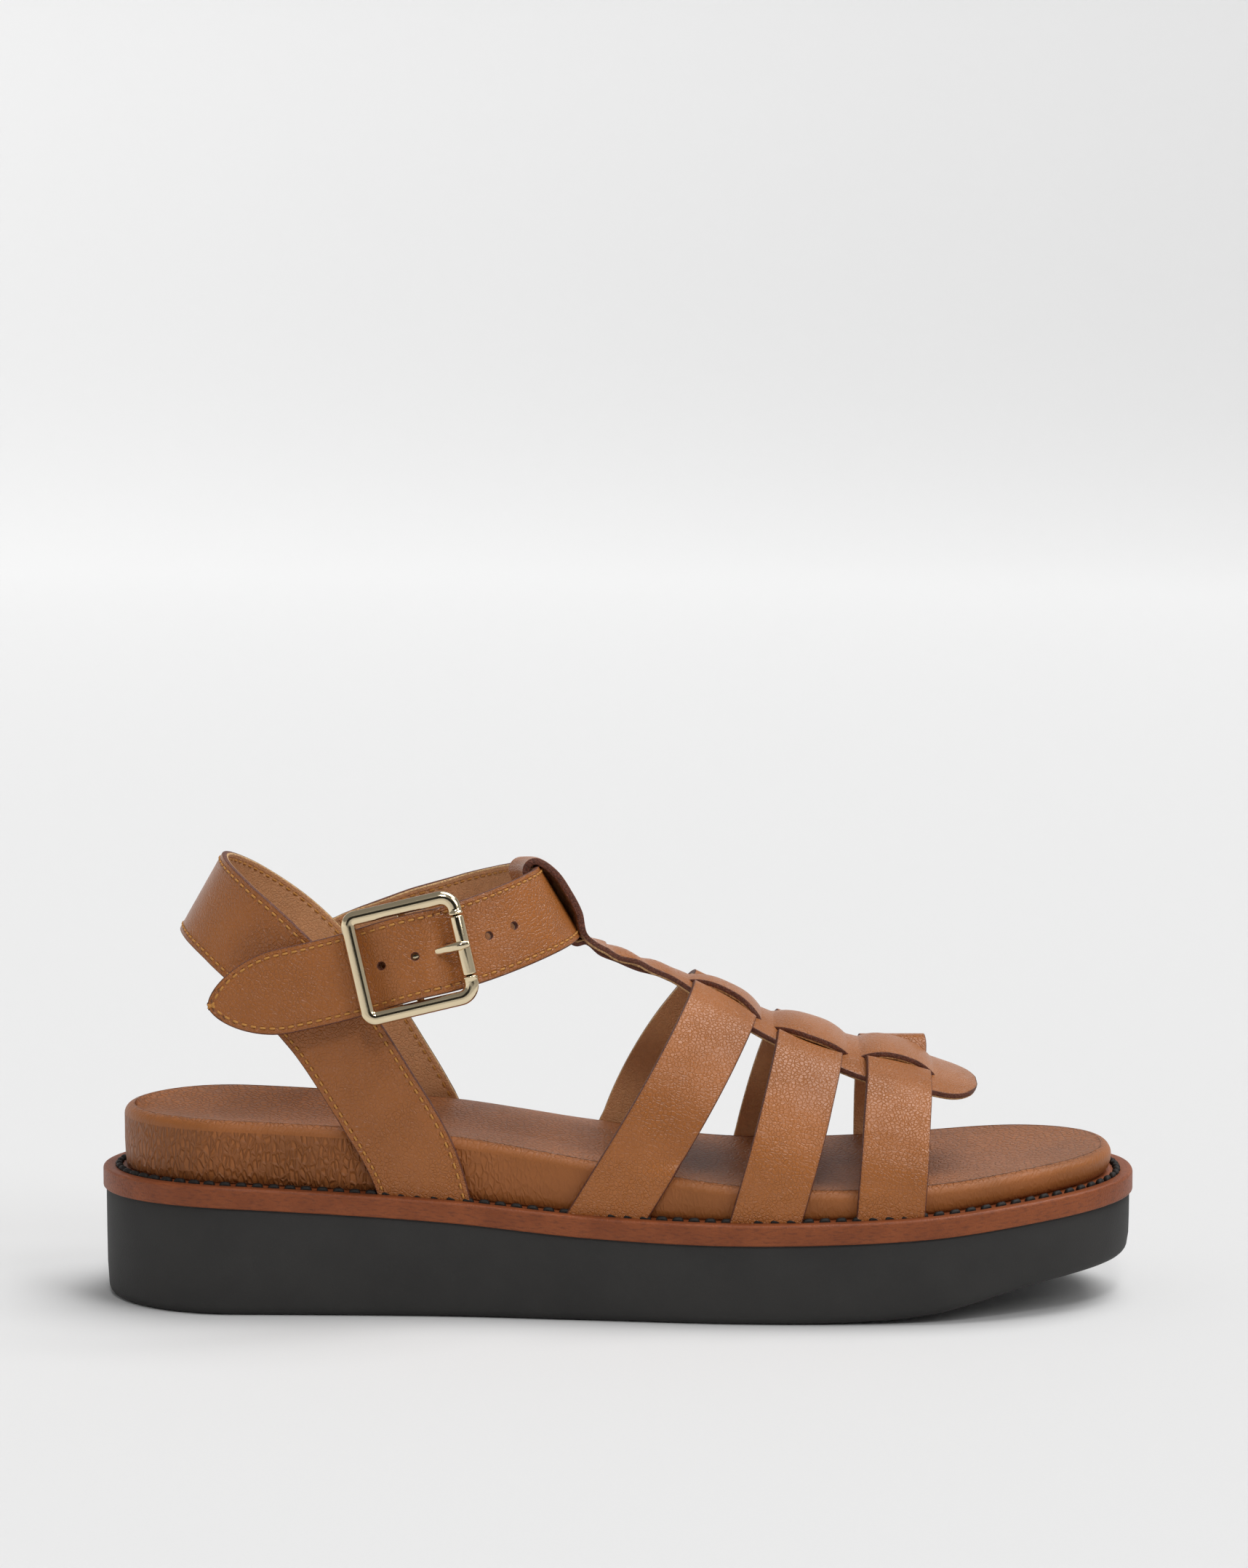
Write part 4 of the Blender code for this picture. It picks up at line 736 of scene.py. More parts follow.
# %% Footbed
FOOTBED_EDGE = 2.6 * MM
HOLLOWS = (
    # place, reach, depth
    (0.17, 0.15, 1.00),
    (0.68, 0.12, 0.45),
    (0.88, 0.07, 0.25),
)
ARCH_PLACE = 0.42
ARCH_REACH = 0.10
TUCK = 0.5 * MM
TOE_TUCK = 1.3 * MM
WRINKLED_TO = 0.46


def bell(x, place, reach):
    """exp(-t^2), where t is the distance from the place in reaches."""
    return np.exp(-(((x_to_place(x) - place) / reach) ** 2))


def footbed_top(x, share):
    """The rim's height, less a heel cup, a ball hollow and a toe hollow, each a bell along the
    foot times (1 - y^2)^1.3 across it, plus an arch that leans to the inner side."""
    across = 2 * share - 1
    dish = np.clip(1 - across**2, 0.0, 1.0)
    hollow = sum(depth * HEEL_CUP * bell(x, place, reach) for place, reach, depth in HOLLOWS)
    arch = ARCH_RISE * bell(x, ARCH_PLACE, ARCH_REACH)
    lift = arch * dish * (0.35 + 0.65 * np.maximum(across, -0.4))
    return rim_height(x) - hollow * dish**1.3 + lift


def tucked(x):
    """How far the footbed's side tucks in at its foot: more at the toe."""
    return TUCK + TOE_TUCK * smooth_step((x_to_place(x) - 0.75) / 0.2)


foot = raised(welt_top, -0.2 * MM)
tuck = tucked(outline(FOOTBED_INSET)[:-1, 0])
lower = [
    # inset, height
    (FOOTBED_INSET + tuck + 0.8 * MM, foot),
    (FOOTBED_INSET + tuck * 0.8, raised(foot, 0.7 * MM)),
    (FOOTBED_INSET + tuck * 0.35, mixed(foot, rim_height, 0.22)),
    (FOOTBED_INSET + tuck * 0.05, mixed(foot, rim_height, 0.45)),
]
upper = [(FOOTBED_INSET + inwards, raised(rim_height, -down))
         for inwards, down in round_over(FOOTBED_EDGE, 9)]
around = ring_stack(lower + upper[:1])
over = ring_stack(upper)
heel_share = smooth_step((WRINKLED_TO - x_to_place(around["points"][:, 0])) / 0.2)
around["fields"]["wrinkled"] = heel_share
around["fields"]["top"] = np.zeros(len(heel_share))
rows = len(upper)
over["fields"]["top"] = np.repeat(smooth_step(np.linspace(-0.4, 1.0, rows)), len(over["points"]) // rows)
footbed = piece("footbed_wrap", [
    around,
    over,
    cap(upper[-1][0], footbed_top, ribs=64, top=1.0),
    cap(FOOTBED_INSET + FOOTBED_EDGE, flat(foot), ribs=16, flip=True),
], footbed_finish)
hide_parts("footbed")

# %% [markdown]
# ## The last and the straps' leather
# All the straps are pulled over a last: a foot form that rises from the footbed's rim to a
# ridge. Its section on each side of the ridge is a quarter of an ellipse. A strap is worked out
# as a surface without thickness, and then made into leather: its outer and inner faces lie half
# a thickness away along the normal, and a rounded rim runs round every open edge, slits and
# holes included. That is what a Solidify modifier does, but here the rim is rounded, and each
# point knows how far it is from the edge and how deep in the leather, for the painted edges.

# %% The last
INSTEP_HEIGHT = 91.0 * MM
CREST_OFFSET = 5.0 * MM
SEAT_GAP = 0.3 * MM
LEATHER = 1.8 * MM

CREST = (
    # place, height, offset
    (0.440, 1.020, 0.10),
    (0.486, 0.973, 0.10),
    (0.511, 0.942, 0.10),
    (0.533, 0.920, 0.12),
    (0.555, 0.895, 0.15),
    (0.587, 0.852, 0.20),
    (0.609, 0.822, 0.25),
    (0.645, 0.774, 0.35),
    (0.687, 0.729, 0.50),
    (0.726, 0.698, 0.80),
    (0.764, 0.670, 1.15),
    (0.825, 0.610, 1.40),
    (0.860, 0.572, 1.50),
)


def crest_height(x):
    """Height of the last's ridge."""
    return INSTEP_HEIGHT * table_at(CREST, 1, x)


def crest_offset(x):
    """How far the ridge lies to the inner side."""
    return CREST_OFFSET * table_at(CREST, 2, x)


def footbed_half(side, x):
    """Half width of the footbed, with the gap to the straps beside it."""
    return half_width(side, x) - FOOTBED_INSET + SEAT_GAP


def last_reach(x, lateral):
    """How far the last reaches from its ridge, where lateral says which side it is."""
    offset = crest_offset(x)
    return np.where(lateral, footbed_half(LATERAL, x) + offset, footbed_half(MEDIAL, x) - offset)


def last_point(x, turn):
    """A quarter ellipse on each side: y = offset - reach cos(turn), z = rim + rise sin(turn)."""
    y = crest_offset(x) - last_reach(x, turn < math.pi / 2) * np.cos(turn)
    return y, rim_height(x) + (crest_height(x) - rim_height(x)) * np.sin(turn)


def last_drop(x, y):
    """How far the last lies below its ridge at y: rise (1 - sqrt(1 - share^2))."""
    offset = crest_offset(x)
    share = np.clip(np.abs(y - offset) / last_reach(x, y < offset), 0.0, 0.98)
    return (crest_height(x) - rim_height(x)) * (1 - np.sqrt(1 - share**2))


def on_last(x, y, rise):
    """Points over the last at x and y, raised by rise along its normal (from its two slopes)."""
    step = 0.05 * MM
    height = crest_height(x) - last_drop(x, y)
    slope_x = (crest_height(x + step) - last_drop(x + step, y) - height) / step
    slope_y = (crest_height(x) - last_drop(x, y + step) - height) / step
    normal = unit(np.stack([-slope_x, -slope_y, np.ones_like(height)], axis=-1))
    return np.stack([x, y, height], axis=-1) + normal * np.asarray(rise)[..., None]


print("instep over the footbed in mm:", round(float(crest_height(0.0) - rim_height(0.0)) / MM, 1))

# %% Leather from a surface
RIM_RADIUS = 0.25 * MM
RIM_BULGE = 0.10 * MM


def point_normals(points, quads):
    """The sum of the faces' normals round each point; a face's is its diagonals' product."""
    normal = np.cross(points[quads[:, 2]] - points[quads[:, 0]], points[quads[:, 3]] - points[quads[:, 1]])
    total = np.zeros_like(points)
    for corner in range(4):
        np.add.at(total, quads[:, corner], normal)
    return unit(total)


def open_edges(quads, count):
    """The directed edges that no other face runs the other way."""
    start = quads.ravel()
    end = np.roll(quads, -1, axis=1).ravel()
    single = ~np.isin(start * count + end, end * count + start)
    return start[single], end[single]


def rim_profile(thickness, radius):
    """The rim's section: pairs (out over the edge, up from the middle), from the outer face to
    the inner one, a quarter round at each corner."""
    half = thickness / 2
    top = [(radius * (math.sin(a) - 1), half - radius * (1 - math.cos(a))) for a in np.radians((30, 60, 90))]
    middle = [(RIM_BULGE, 0.15 * half), (RIM_BULGE, -0.25 * half)]
    return top + middle + [(a, -b) for a, b in top[::-1]]


def leather(name, points, quads, uv, margin, finish, up, thickness=LEATHER, radius=RIM_RADIUS):
    """Leather on both sides of a surface, with a rounded rim round its open edges. The outer
    side is the one that up points to. Fields: depth is 0 outside and 1 inside, rim is 1 on the
    cut edge, margin is metres from it."""
    used, compact = np.unique(quads, return_inverse=True)
    quads = compact.reshape(-1, 4)
    points, uv, margin = points[used], uv[used], margin[used]
    normal = point_normals(points, quads)
    if np.sum(normal * up[used]) < 0:
        quads = quads[:, ::-1]
        normal = -normal
    count = len(points)
    start, end = open_edges(quads, count)
    direction = unit(points[end] - points[start])
    beside = unit(np.cross(direction, normal[start] + normal[end]))
    out = np.zeros_like(points)
    np.add.at(out, start, beside + 0.1 * direction)
    np.add.at(out, end, beside - 0.1 * direction)
    out = unit(out)
    edge = np.unique(start)
    place = np.full(count, -1)
    place[edge] = np.arange(len(edge))

    outer = points + normal * thickness / 2
    inner = points - normal * thickness / 2
    outer[edge] -= out[edge] * radius
    inner[edge] -= out[edge] * radius
    profile = rim_profile(thickness, radius)
    rows = [points[edge] + out[edge] * a + normal[edge] * b for a, b in profile]
    faces = [quads, quads[:, ::-1] + count]
    rings = [edge] + list(2 * count + grid_numbers(len(rows), len(edge))) + [count + edge]
    a, b = place[start], place[end]
    for upper_ring, lower_ring in zip(rings[:-1], rings[1:]):
        faces.append(np.stack([upper_ring[b], upper_ring[a], lower_ring[a], lower_ring[b]], axis=1))

    on_rim = len(edge) * len(rows)
    depth = [np.zeros(count), np.ones(count)]
    depth += [np.full(len(edge), 0.5 - height / thickness) for _, height in profile]
    fields = {
        "depth": np.concatenate(depth),
        "rim": np.concatenate([np.zeros(2 * count), np.ones(on_rim)]),
        "margin": np.concatenate([margin, margin, np.zeros(on_rim)]),
    }
    made = {
        "points": np.vstack([outer, inner] + rows), "quads": np.vstack(faces),
        "uv": np.vstack([uv, uv] + [uv[edge]] * len(rows)), "fields": fields,
    }
    return piece(name, [made], finish, merge=FINE_SEAM)


def strip(name, points, uv, half, finish, up, **settings):
    """A plain strap: a grid whose columns are offsets across it, up to half on each side."""
    quads = grid_quads(grid_numbers(*points.shape[:2]))
    margin = half - np.abs(uv[..., 1])
    return leather(name, points.reshape(-1, 3), quads, uv.reshape(-1, 2), margin.ravel(),
                   finish, up.reshape(-1, 3), **settings)


def across_shares(count, half):
    """Shares of the half width from -1 to 1, with one more line close to each edge."""
    even = np.linspace(-1.0, 1.0, count)
    near = 1 - EDGE_FADE / half
    return np.unique(np.concatenate([even[np.abs(even) < near - 0.02], [-1.0, -near, near, 1.0]]))


print("a strap's rim has", len(rim_profile(LEATHER, RIM_RADIUS)), "rows")

# %% [markdown]
# ## Three cross bands
# Each band is one strap from welt to welt. It leans towards the toe as it climbs, goes over the
# spine's margins, dives through the slits and passes under the spine's middle. Its middle line
# lies on the last, and its rulings turn with its height; the dive is a soft step along it.

# %% Bands
BANDS = (
    # lateral, crossing, medial, side_slope, top_slope, far_slope, bow, far_lift
    (0.490, 0.601, 0.508, 32.0, 27.0, 27.0, 1.55, 0.00),
    (0.640, 0.684, 0.644, 16.0, 19.0, 17.0, 1.15, 0.00),
    (0.758, 0.768, 0.768, 7.0, 16.5, 0.0, 1.00, 0.60),
)
BAND_LATERAL, BAND_CROSSING, BAND_MEDIAL, SIDE_SLOPE, TOP_SLOPE, FAR_SLOPE, BOW, FAR_LIFT = range(8)
FAR_START = 4.0 * MM
FAR_REACH = 9.0 * MM
FAR_FADE = 22.0 * MM
BAND_CROWN = 0.9 * MM
SLIT_CLIMB = 3.4 * MM
SLIT_MARGIN = 1.2 * MM
BAND_SETTLE = 16.0 * MM
BAND_WIDTHS = (18.0 * MM, 17.4 * MM, 17.0 * MM)
SPINE_WIDTH = 38.0 * MM
SEWN_OVERLAP = 0.15 * MM
BURIED = 0.9 * MM
NECK_PLACE = 0.487
SPINE_OFFSET = -1.6 * MM

SPINE_SHAPE = (
    # place, half_width, slit
    (0.440, 0.150, 0.090),
    (0.500, 0.135, 0.080),
    (0.530, 0.138, 0.080),
    (0.555, 0.185, 0.090),
    (0.580, 0.275, 0.100),
    (0.610, 0.345, 0.125),
    (0.645, 0.410, 0.235),
    (0.675, 0.455, 0.315),
    (0.700, 0.490, 0.325),
    (0.735, 0.548, 0.280),
    (0.765, 0.552, 0.245),
    (0.800, 0.500, 0.235),
    (0.830, 0.460, 0.235),
)
SPINE_TIP = 0.846
TAB_ROUND = 0.040
PATH_STEPS = 721
PATH_ROUNDS = 14
PATH_FOOT = (26.0 * MM, 2.0 * MM)
PATH_END = 200
CROSSING_RUN = 24.0 * MM
FREE_RUN = 25.0 * MM


def spine_half(x):
    """Half width of the spine, rounded off at the toe end."""
    past = np.clip((x_to_place(x) - SPINE_TIP + TAB_ROUND) / TAB_ROUND, 0.0, 1.0)
    return SPINE_WIDTH * table_at(SPINE_SHAPE, 1, x) * np.sqrt(1 - 0.97 * past**2.6)


def slit_place(x):
    """How far the slits lie from the spine's middle line: they part towards the toes."""
    return SPINE_WIDTH * table_at(SPINE_SHAPE, 2, x)


def band_path(band):
    """The band's middle line: x goes from the foot's place to the crossing's with the height
    over the welt, solved together with the last's section by repeating."""
    turn = np.linspace(0.0, math.pi, PATH_STEPS)
    lateral = turn < math.pi / 2
    foot = np.where(lateral, place_to_x(band[BAND_LATERAL]), place_to_x(band[BAND_MEDIAL]))
    top = place_to_x(band[BAND_CROSSING])
    low = welt_top(foot)
    x = np.full_like(turn, top)
    for _ in range(PATH_ROUNDS):
        y, z = last_point(x, turn)
        share = np.clip((z - low) / (crest_height(top) - low), 0.0, 1.0)
        x = foot + (top - foot) * np.where(lateral, share, share ** band[BOW])
    y, z = last_point(x, turn)
    skin = np.column_stack([x, y, z])
    ends = []
    feet = ((skin[0], -1, band[BAND_LATERAL], LATERAL), (skin[-1], 1, band[BAND_MEDIAL], MEDIAL))
    for edge, sign, place, side in feet:
        foot_x = place_to_x(place)
        slope = (top - foot_x) / (crest_height(top) - welt_top(foot_x))
        drops = np.linspace(*PATH_FOOT, 30)
        xs = edge[0] - slope * drops
        ends.append(np.column_stack([xs, sign * footbed_half(side, xs), edge[2] - drops]))
    return np.vstack([ends[0], skin, ends[1][::-1]])


def frame_along(points, across):
    """Directions across a line and out of it, square to the line."""
    along = unit(np.gradient(points, axis=0))
    across = unit(across - along * np.sum(across * along, axis=1)[:, None])
    return across, unit(np.cross(across, along))


def slit_climb(past):
    """How far the band has climbed out, past metres beyond the slit."""
    return smooth_step((past + 0.1 * SLIT_CLIMB) / SLIT_CLIMB)


def band_rise(distance, offset, band, half):
    """Nothing under the spine's middle, one leather over its margins, and down beyond them.
    The middle presses the band's edges down by a crown, crown (offset / half)^2."""
    away = np.abs(distance - SPINE_OFFSET)
    crossing = place_to_x(band[BAND_CROSSING])
    slit = slit_place(crossing + offset * math.cos(math.radians(band[TOP_SLOPE])))
    down = smooth_step((away - float(spine_half(crossing)) - SLIT_MARGIN) / BAND_SETTLE)
    climb = (LEATHER - SEWN_OVERLAP) * slit_climb(away - slit) * (1 - down)
    crown = BAND_CROWN * (offset / half) ** 2 * (1 - smooth_step(away / (slit + 2 * SLIT_CLIMB)))
    past = smooth_step((distance - FAR_START) / FAR_REACH)
    past = past * (1 - smooth_step((distance - FAR_FADE) / FAR_FADE))
    return climb - crown + band[FAR_LIFT] * LEATHER * past


def to_the_welt(strap, rows, offsets, free):
    """Distances for each row and column, such that each column ends just inside the welt."""
    dense = np.linspace(rows[0] - 22 * MM, rows[-1] + 22 * MM, 900)
    half = len(dense) // 2
    columns = []
    for offset in offsets:
        line = strap(dense, offset)
        clear = line[:, 2] - welt_top(line[:, 0]) + BURIED
        first = np.interp(0.0, clear[:half], dense[:half])
        last = np.interp(0.0, clear[half:][::-1], dense[half:][::-1])
        lead = np.clip((-free - rows) / (-free - rows[0]), 0.0, 1.0)
        tail = np.clip((rows - free) / (rows[-1] - free), 0.0, 1.0)
        columns.append(rows + (first - rows[0]) * lead + (last - rows[-1]) * tail)
    return np.stack(columns, axis=1)


def clear_of_footbed(grid, thickness=LEATHER):
    """Pushes a strap out until it clears the footbed's side, and lets go above its rim."""
    x, y, z = grid[..., 0], grid[..., 1], grid[..., 2]
    limit = np.where(y < 0, footbed_half(LATERAL, x), footbed_half(MEDIAL, x)) + thickness / 2 + 0.1 * MM
    over = np.clip((z - rim_height(x) + 1.0 * MM) / (9.0 * MM), 0.0, 1.0)
    limit = limit - 5.0 * MM * over**2
    pushed = np.sign(y) * np.maximum(np.abs(y), limit)
    return np.stack([x, np.where(over < 1.0, pushed, y), z], axis=-1)


def band(number):
    """One band: its grid, with a slight crown across, and its leather."""
    row = BANDS[number]
    half = BAND_WIDTHS[number] / 2
    points = band_path(row)
    lengths = lengths_along(points)
    middle = np.interp(0.0, points[150:-150, 1], lengths[150:-150])
    over_welt = points[:, 2] - welt_top(points[:, 0])
    height = over_welt / (points[:, 2].max() - welt_top(points[0, 0]))
    past = smooth_step((points[:, 1] - FAR_START) / FAR_REACH)
    on_top = row[TOP_SLOPE] + (row[FAR_SLOPE] - row[TOP_SLOPE]) * past
    slope = np.radians(row[SIDE_SLOPE] + (on_top - row[SIDE_SLOPE]) * smooth_step(height))
    ruling = np.column_stack([np.cos(slope), np.zeros(len(slope)), -np.sin(slope)])
    across, outward = frame_along(points, ruling)

    def strap(distance, offset):
        at = distance + middle
        out = unit(read_along(outward, lengths, at))
        rise = LEATHER / 2 + band_rise(distance, offset, row, half)
        sideways = read_along(across, lengths, at) * np.asarray(offset)[..., None]
        return read_along(points, lengths, at) + sideways + out * rise[..., None]

    offsets = across_shares(15, half) * half
    edge = np.interp(0.0, over_welt[:PATH_END], lengths[:PATH_END]) - middle
    far = np.interp(0.0, over_welt[:-PATH_END - 1:-1], lengths[:-PATH_END - 1:-1]) - middle
    rows = np.concatenate([
        np.linspace(edge, -CROSSING_RUN, 46)[:-1],
        np.linspace(-CROSSING_RUN, CROSSING_RUN, 97),
        np.linspace(CROSSING_RUN, far, 46)[1:],
    ])
    at = to_the_welt(strap, rows, offsets, FREE_RUN)
    spread = np.broadcast_to(offsets, at.shape)
    grid = clear_of_footbed(strap(at, spread))
    out = read_along(outward, lengths, at + middle)
    uv = np.stack([at, spread], axis=-1)
    return strip("band_%d" % (number + 1), grid, uv, half, band_leather, out)


bands = [band(number) for number in range(3)]

# %% [markdown]
# ## The spine
# One piece of leather runs from a rounded tab at the toes up the instep, narrows to a neck and
# folds into a loop for the ankle strap. Two slits at each band free its middle, which is pushed
# up over the band while its margins stay under it. The grid has three blocks of columns, and
# where a slit is open the blocks have points of their own.

# %% Spine
SLIT_OPENING = 0.75 * MM
MIDDLE_LIFT = 0.75 * MM
ANKLE_WIDTH = 61.8 * MM
ANKLE_STRAP_WIDTH = 21.2 * MM
LOOP_WIDTH = 14.5 * MM
LOOP_ROOM = 1.85 * MM
LOOP_GAP = 0.7 * MM
LOOP_PINCH = 0.35 * MM
NECK_HALF = 5.2 * MM
NECK_RUN = 3.0 * MM
NECK_FROM = 8.0 * MM
NECK_FADE = 12.0 * MM
LOOP_PULL = 7.0 * MM
LOOP_SPREAD = 6.0 * MM
TAIL_HALF = 4.4 * MM
LOOP_YAW = 2.4 * MM
LOOP_ROLL = 0.9 * MM
SLIT_POWER = 2.6
NECK_WAVE = 9.5 * MM
NECK_RIPPLE = 0.38 * MM

ANKLE_STRAP = (
    # place, half_width, height, tilt
    (0.112, -0.552, 0.868, 8.0),
    (0.172, -0.570, 0.905, 8.0),
    (0.240, -0.570, 0.951, 8.5),
    (0.293, -0.562, 0.996, 9.5),
    (0.336, -0.545, 1.025, 11.5),
    (0.365, -0.500, 1.047, 15.0),
    (0.400, -0.410, 1.078, 20.0),
    (0.434, -0.240, 1.110, 27.0),
    (0.440, 0.000, 1.113, 31.0),
    (0.422, 0.240, 1.096, 27.0),
    (0.393, 0.420, 1.066, 20.0),
    (0.360, 0.505, 1.038, 18.0),
    (0.310, 0.520, 1.000, 20.0),
    (0.262, 0.518, 0.948, 22.0),
    (0.215, 0.506, 0.885, 24.0),
)
FRONT_ROW = 8


def spine_middle(x):
    """Where the spine's middle line lies across the foot."""
    return SPINE_OFFSET * smooth_step((x_to_place(x) - NECK_PLACE) / 0.16)


def slit_ends(number):
    """Where the slits for a band start and end, along x."""
    half = (BAND_WIDTHS[number] / 2 + SLIT_MARGIN) * math.cos(math.radians(BANDS[number][TOP_SLOPE]))
    middle = float(place_to_x(BANDS[number][BAND_CROSSING]))
    return middle - half, middle + half


def slit_share(x):
    """1 - |2t - 1|^power along each slit, and 0 between them."""
    share = np.zeros_like(x)
    for number in range(3):
        start, end = slit_ends(number)
        t = np.clip((x - start) / (end - start), 0.0, 1.0)
        share = np.maximum(share, 1 - np.abs(2 * t - 1) ** SLIT_POWER)
    return share


MARGIN_SHARES = np.array([1.0, 0.9, 0.72, 0.5, 0.28, 0.1, 0.0])
MIDDLE_SHARES = np.array([-1.0, -0.92, -0.72, -0.48, -0.24, 0.0, 0.24, 0.48, 0.72, 0.92, 1.0])
MARGIN_COLUMNS = len(MARGIN_SHARES)
MIDDLE_COLUMNS = len(MIDDLE_SHARES)


def spine_columns(half, slit, share):
    """Offsets across: margin, middle and margin, apart where the slits are open."""
    open_by = SLIT_OPENING * share
    left = -((slit + open_by)[:, None] + (half - slit - open_by)[:, None] * MARGIN_SHARES)
    return np.hstack([left, slit[:, None] * MIDDLE_SHARES, -left[:, ::-1]])


def spine_rows():
    """Rows along the spine from the tip to the neck: close at the tip, even in each slit."""
    stops = [float(place_to_x(SPINE_TIP))]
    for number in (2, 1, 0):
        start, end = slit_ends(number)
        stops += [end, start]
    turn = np.linspace(math.pi / 2, 0.0, 12)[:-1]
    rows = [stops[1] + (stops[0] - stops[1]) * np.sin(turn)]
    for k, count in enumerate((28, 6, 28, 8, 28)):
        rows.append(np.linspace(stops[k + 1], stops[k + 2], count + 1)[:-1])
    rows.append(np.linspace(stops[-1], float(place_to_x(NECK_PLACE)), 18))
    return np.concatenate(rows)


def ankle_front():
    """The ankle strap's front in the XZ plane: its middle, up along it and out of it."""
    row = ANKLE_STRAP[FRONT_ROW]
    middle = np.array([float(place_to_x(row[0])), row[2] * INSTEP_HEIGHT])
    tilt = math.radians(row[3])
    up = np.array([-math.sin(tilt), math.cos(tilt)])
    return middle, up, np.array([up[1], -up[0]])


def loop_line():
    """The loop in the XZ plane: up in front of the strap, over its edge and down behind."""
    middle, up, out = ankle_front()
    half = ANKLE_STRAP_WIDTH / 2
    near = LEATHER + LOOP_GAP
    turn = math.atan2(out[1], out[0]) + np.linspace(0.15, 1.0, 8) * math.pi
    over = middle + up * (half - 0.8 * MM) + near * np.column_stack([np.cos(turn), np.sin(turn)])
    front = [
        middle - up * (half + LOOP_PINCH) + out * (LEATHER + LOOP_PINCH),
        middle - up * 0.47 * half + out * (near + LOOP_ROOM * 0.80),
        middle + up * 0.06 * half + out * (near + LOOP_ROOM),
        middle + up * 0.66 * half + out * (near + LOOP_ROOM * 0.75),
    ]
    behind = [middle + up * 0.43 * half - out * near, middle - out * near]
    return np.vstack([front, over, behind])


def front_sag(y):
    """How far the ankle strap has drawn back, and how far it has sunk, at y from the middle of
    its front: the parabola through the front's row and its two neighbours."""
    rows = ANKLE_STRAP[FRONT_ROW - 1:FRONT_ROW + 2]
    ys = column(rows, 1) * ANKLE_WIDTH
    back = place_to_x(rows[1][0]) - place_to_x(column(rows, 0))
    sunk = (rows[1][2] - column(rows, 2)) * INSTEP_HEIGHT
    return tuple(np.polyval(np.polyfit(ys, drop, 2), y) for drop in (back, sunk))


def spine():
    """The spine's grid: the vamp on the last, then the loop carried along its line."""
    xs = spine_rows()
    share = slit_share(xs)
    slit = np.minimum(slit_place(xs), 0.8 * spine_half(xs))
    offsets = spine_columns(spine_half(xs), slit, share)
    lift = (LEATHER - SEWN_OVERLAP) * share[:, None] * (slit_climb(np.abs(offsets) - slit[:, None]) - 1)
    lift[:, MARGIN_COLUMNS:-MARGIN_COLUMNS] = ((LEATHER + MIDDLE_LIFT) * share)[:, None]
    waves = np.sin(2 * math.pi * (xs[:, None] / NECK_WAVE + offsets / (4 * NECK_HALF)))
    narrow = 1 - smooth_step((xs - place_to_x(NECK_PLACE) - NECK_FROM) / NECK_FADE)
    lift = lift + NECK_RIPPLE * waves * narrow[:, None]
    vamp = on_last(xs[:, None] + 0 * offsets, offsets + spine_middle(xs)[:, None], LEATHER / 2 + lift)

    centre = MARGIN_COLUMNS + MIDDLE_COLUMNS // 2
    neck = vamp[-9::4, centre][:, [0, 2]]
    line = smooth_line(np.vstack([neck, loop_line()]), 240)
    at = lengths_along(line)
    joint = lengths_along(neck)[-1]
    beyond = at > joint + 0.6 * MM
    line, at = line[beyond][::2], at[beyond][::2] - joint
    start = float(spine_half(xs[-1]))
    half = start + (NECK_HALF - start) * smooth_step(at / NECK_RUN)
    half = half + (LOOP_WIDTH / 2 - NECK_HALF) * smooth_step((at - NECK_RUN) / LOOP_SPREAD)
    across = spine_columns(half, half * float(slit[-1]) / start, np.zeros_like(half))
    pull = smooth_step(at / LOOP_PULL)[:, None]
    back, sunk = front_sag(across)
    back = back + LOOP_YAW * (across / LOOP_WIDTH + 0.5)
    sunk = sunk + LOOP_ROLL * (across / LOOP_WIDTH + 0.5)
    loop = np.stack([line[:, :1] - back * pull, across, line[:, 1:] - sunk * pull], axis=2)

    grid = np.concatenate([vamp, loop])
    index = grid_numbers(*grid.shape[:2])
    closed = np.concatenate([share < 1e-6, np.ones(len(loop), bool)])
    index[closed, MARGIN_COLUMNS] = index[closed, MARGIN_COLUMNS - 1]
    index[closed, -MARGIN_COLUMNS - 1] = index[closed, -MARGIN_COLUMNS]
    blocks = np.split(index, [MARGIN_COLUMNS, MARGIN_COLUMNS + MIDDLE_COLUMNS], axis=1)
    quads = np.vstack([grid_quads(block) for block in blocks])
    spread = np.concatenate([offsets, across])
    along = lengths_along(grid[:, centre])
    uv = np.stack([np.broadcast_to(along[:, None], spread.shape), spread], axis=-1)
    margin = np.abs(spread[:, :1]) - np.abs(spread)
    up = np.zeros_like(grid)
    up[:len(vamp), :, 2] = 1.0
    print("the spine's neck ends", round(float(along[len(vamp)]) / MM, 1), "mm from its tip")
    return leather("spine", grid.reshape(-1, 3), quads, uv.reshape(-1, 2), margin.ravel(), spine_leather,
                   up.reshape(-1, 3))


spine_piece = spine()

# %% [markdown]
# ## The loop's tail
# Behind the ankle strap the loop comes down again and its tail is glued under the neck, where
# it shows as a second layer. It is a strip of its own here, thinner than the neck, on a smooth
# line in the shoe's middle plane; its far end follows the neck's ripple so that they lie close.

# %% The loop's tail
TAIL_LEATHER = 1.5 * MM
TAIL_UNDER = 1.35 * MM


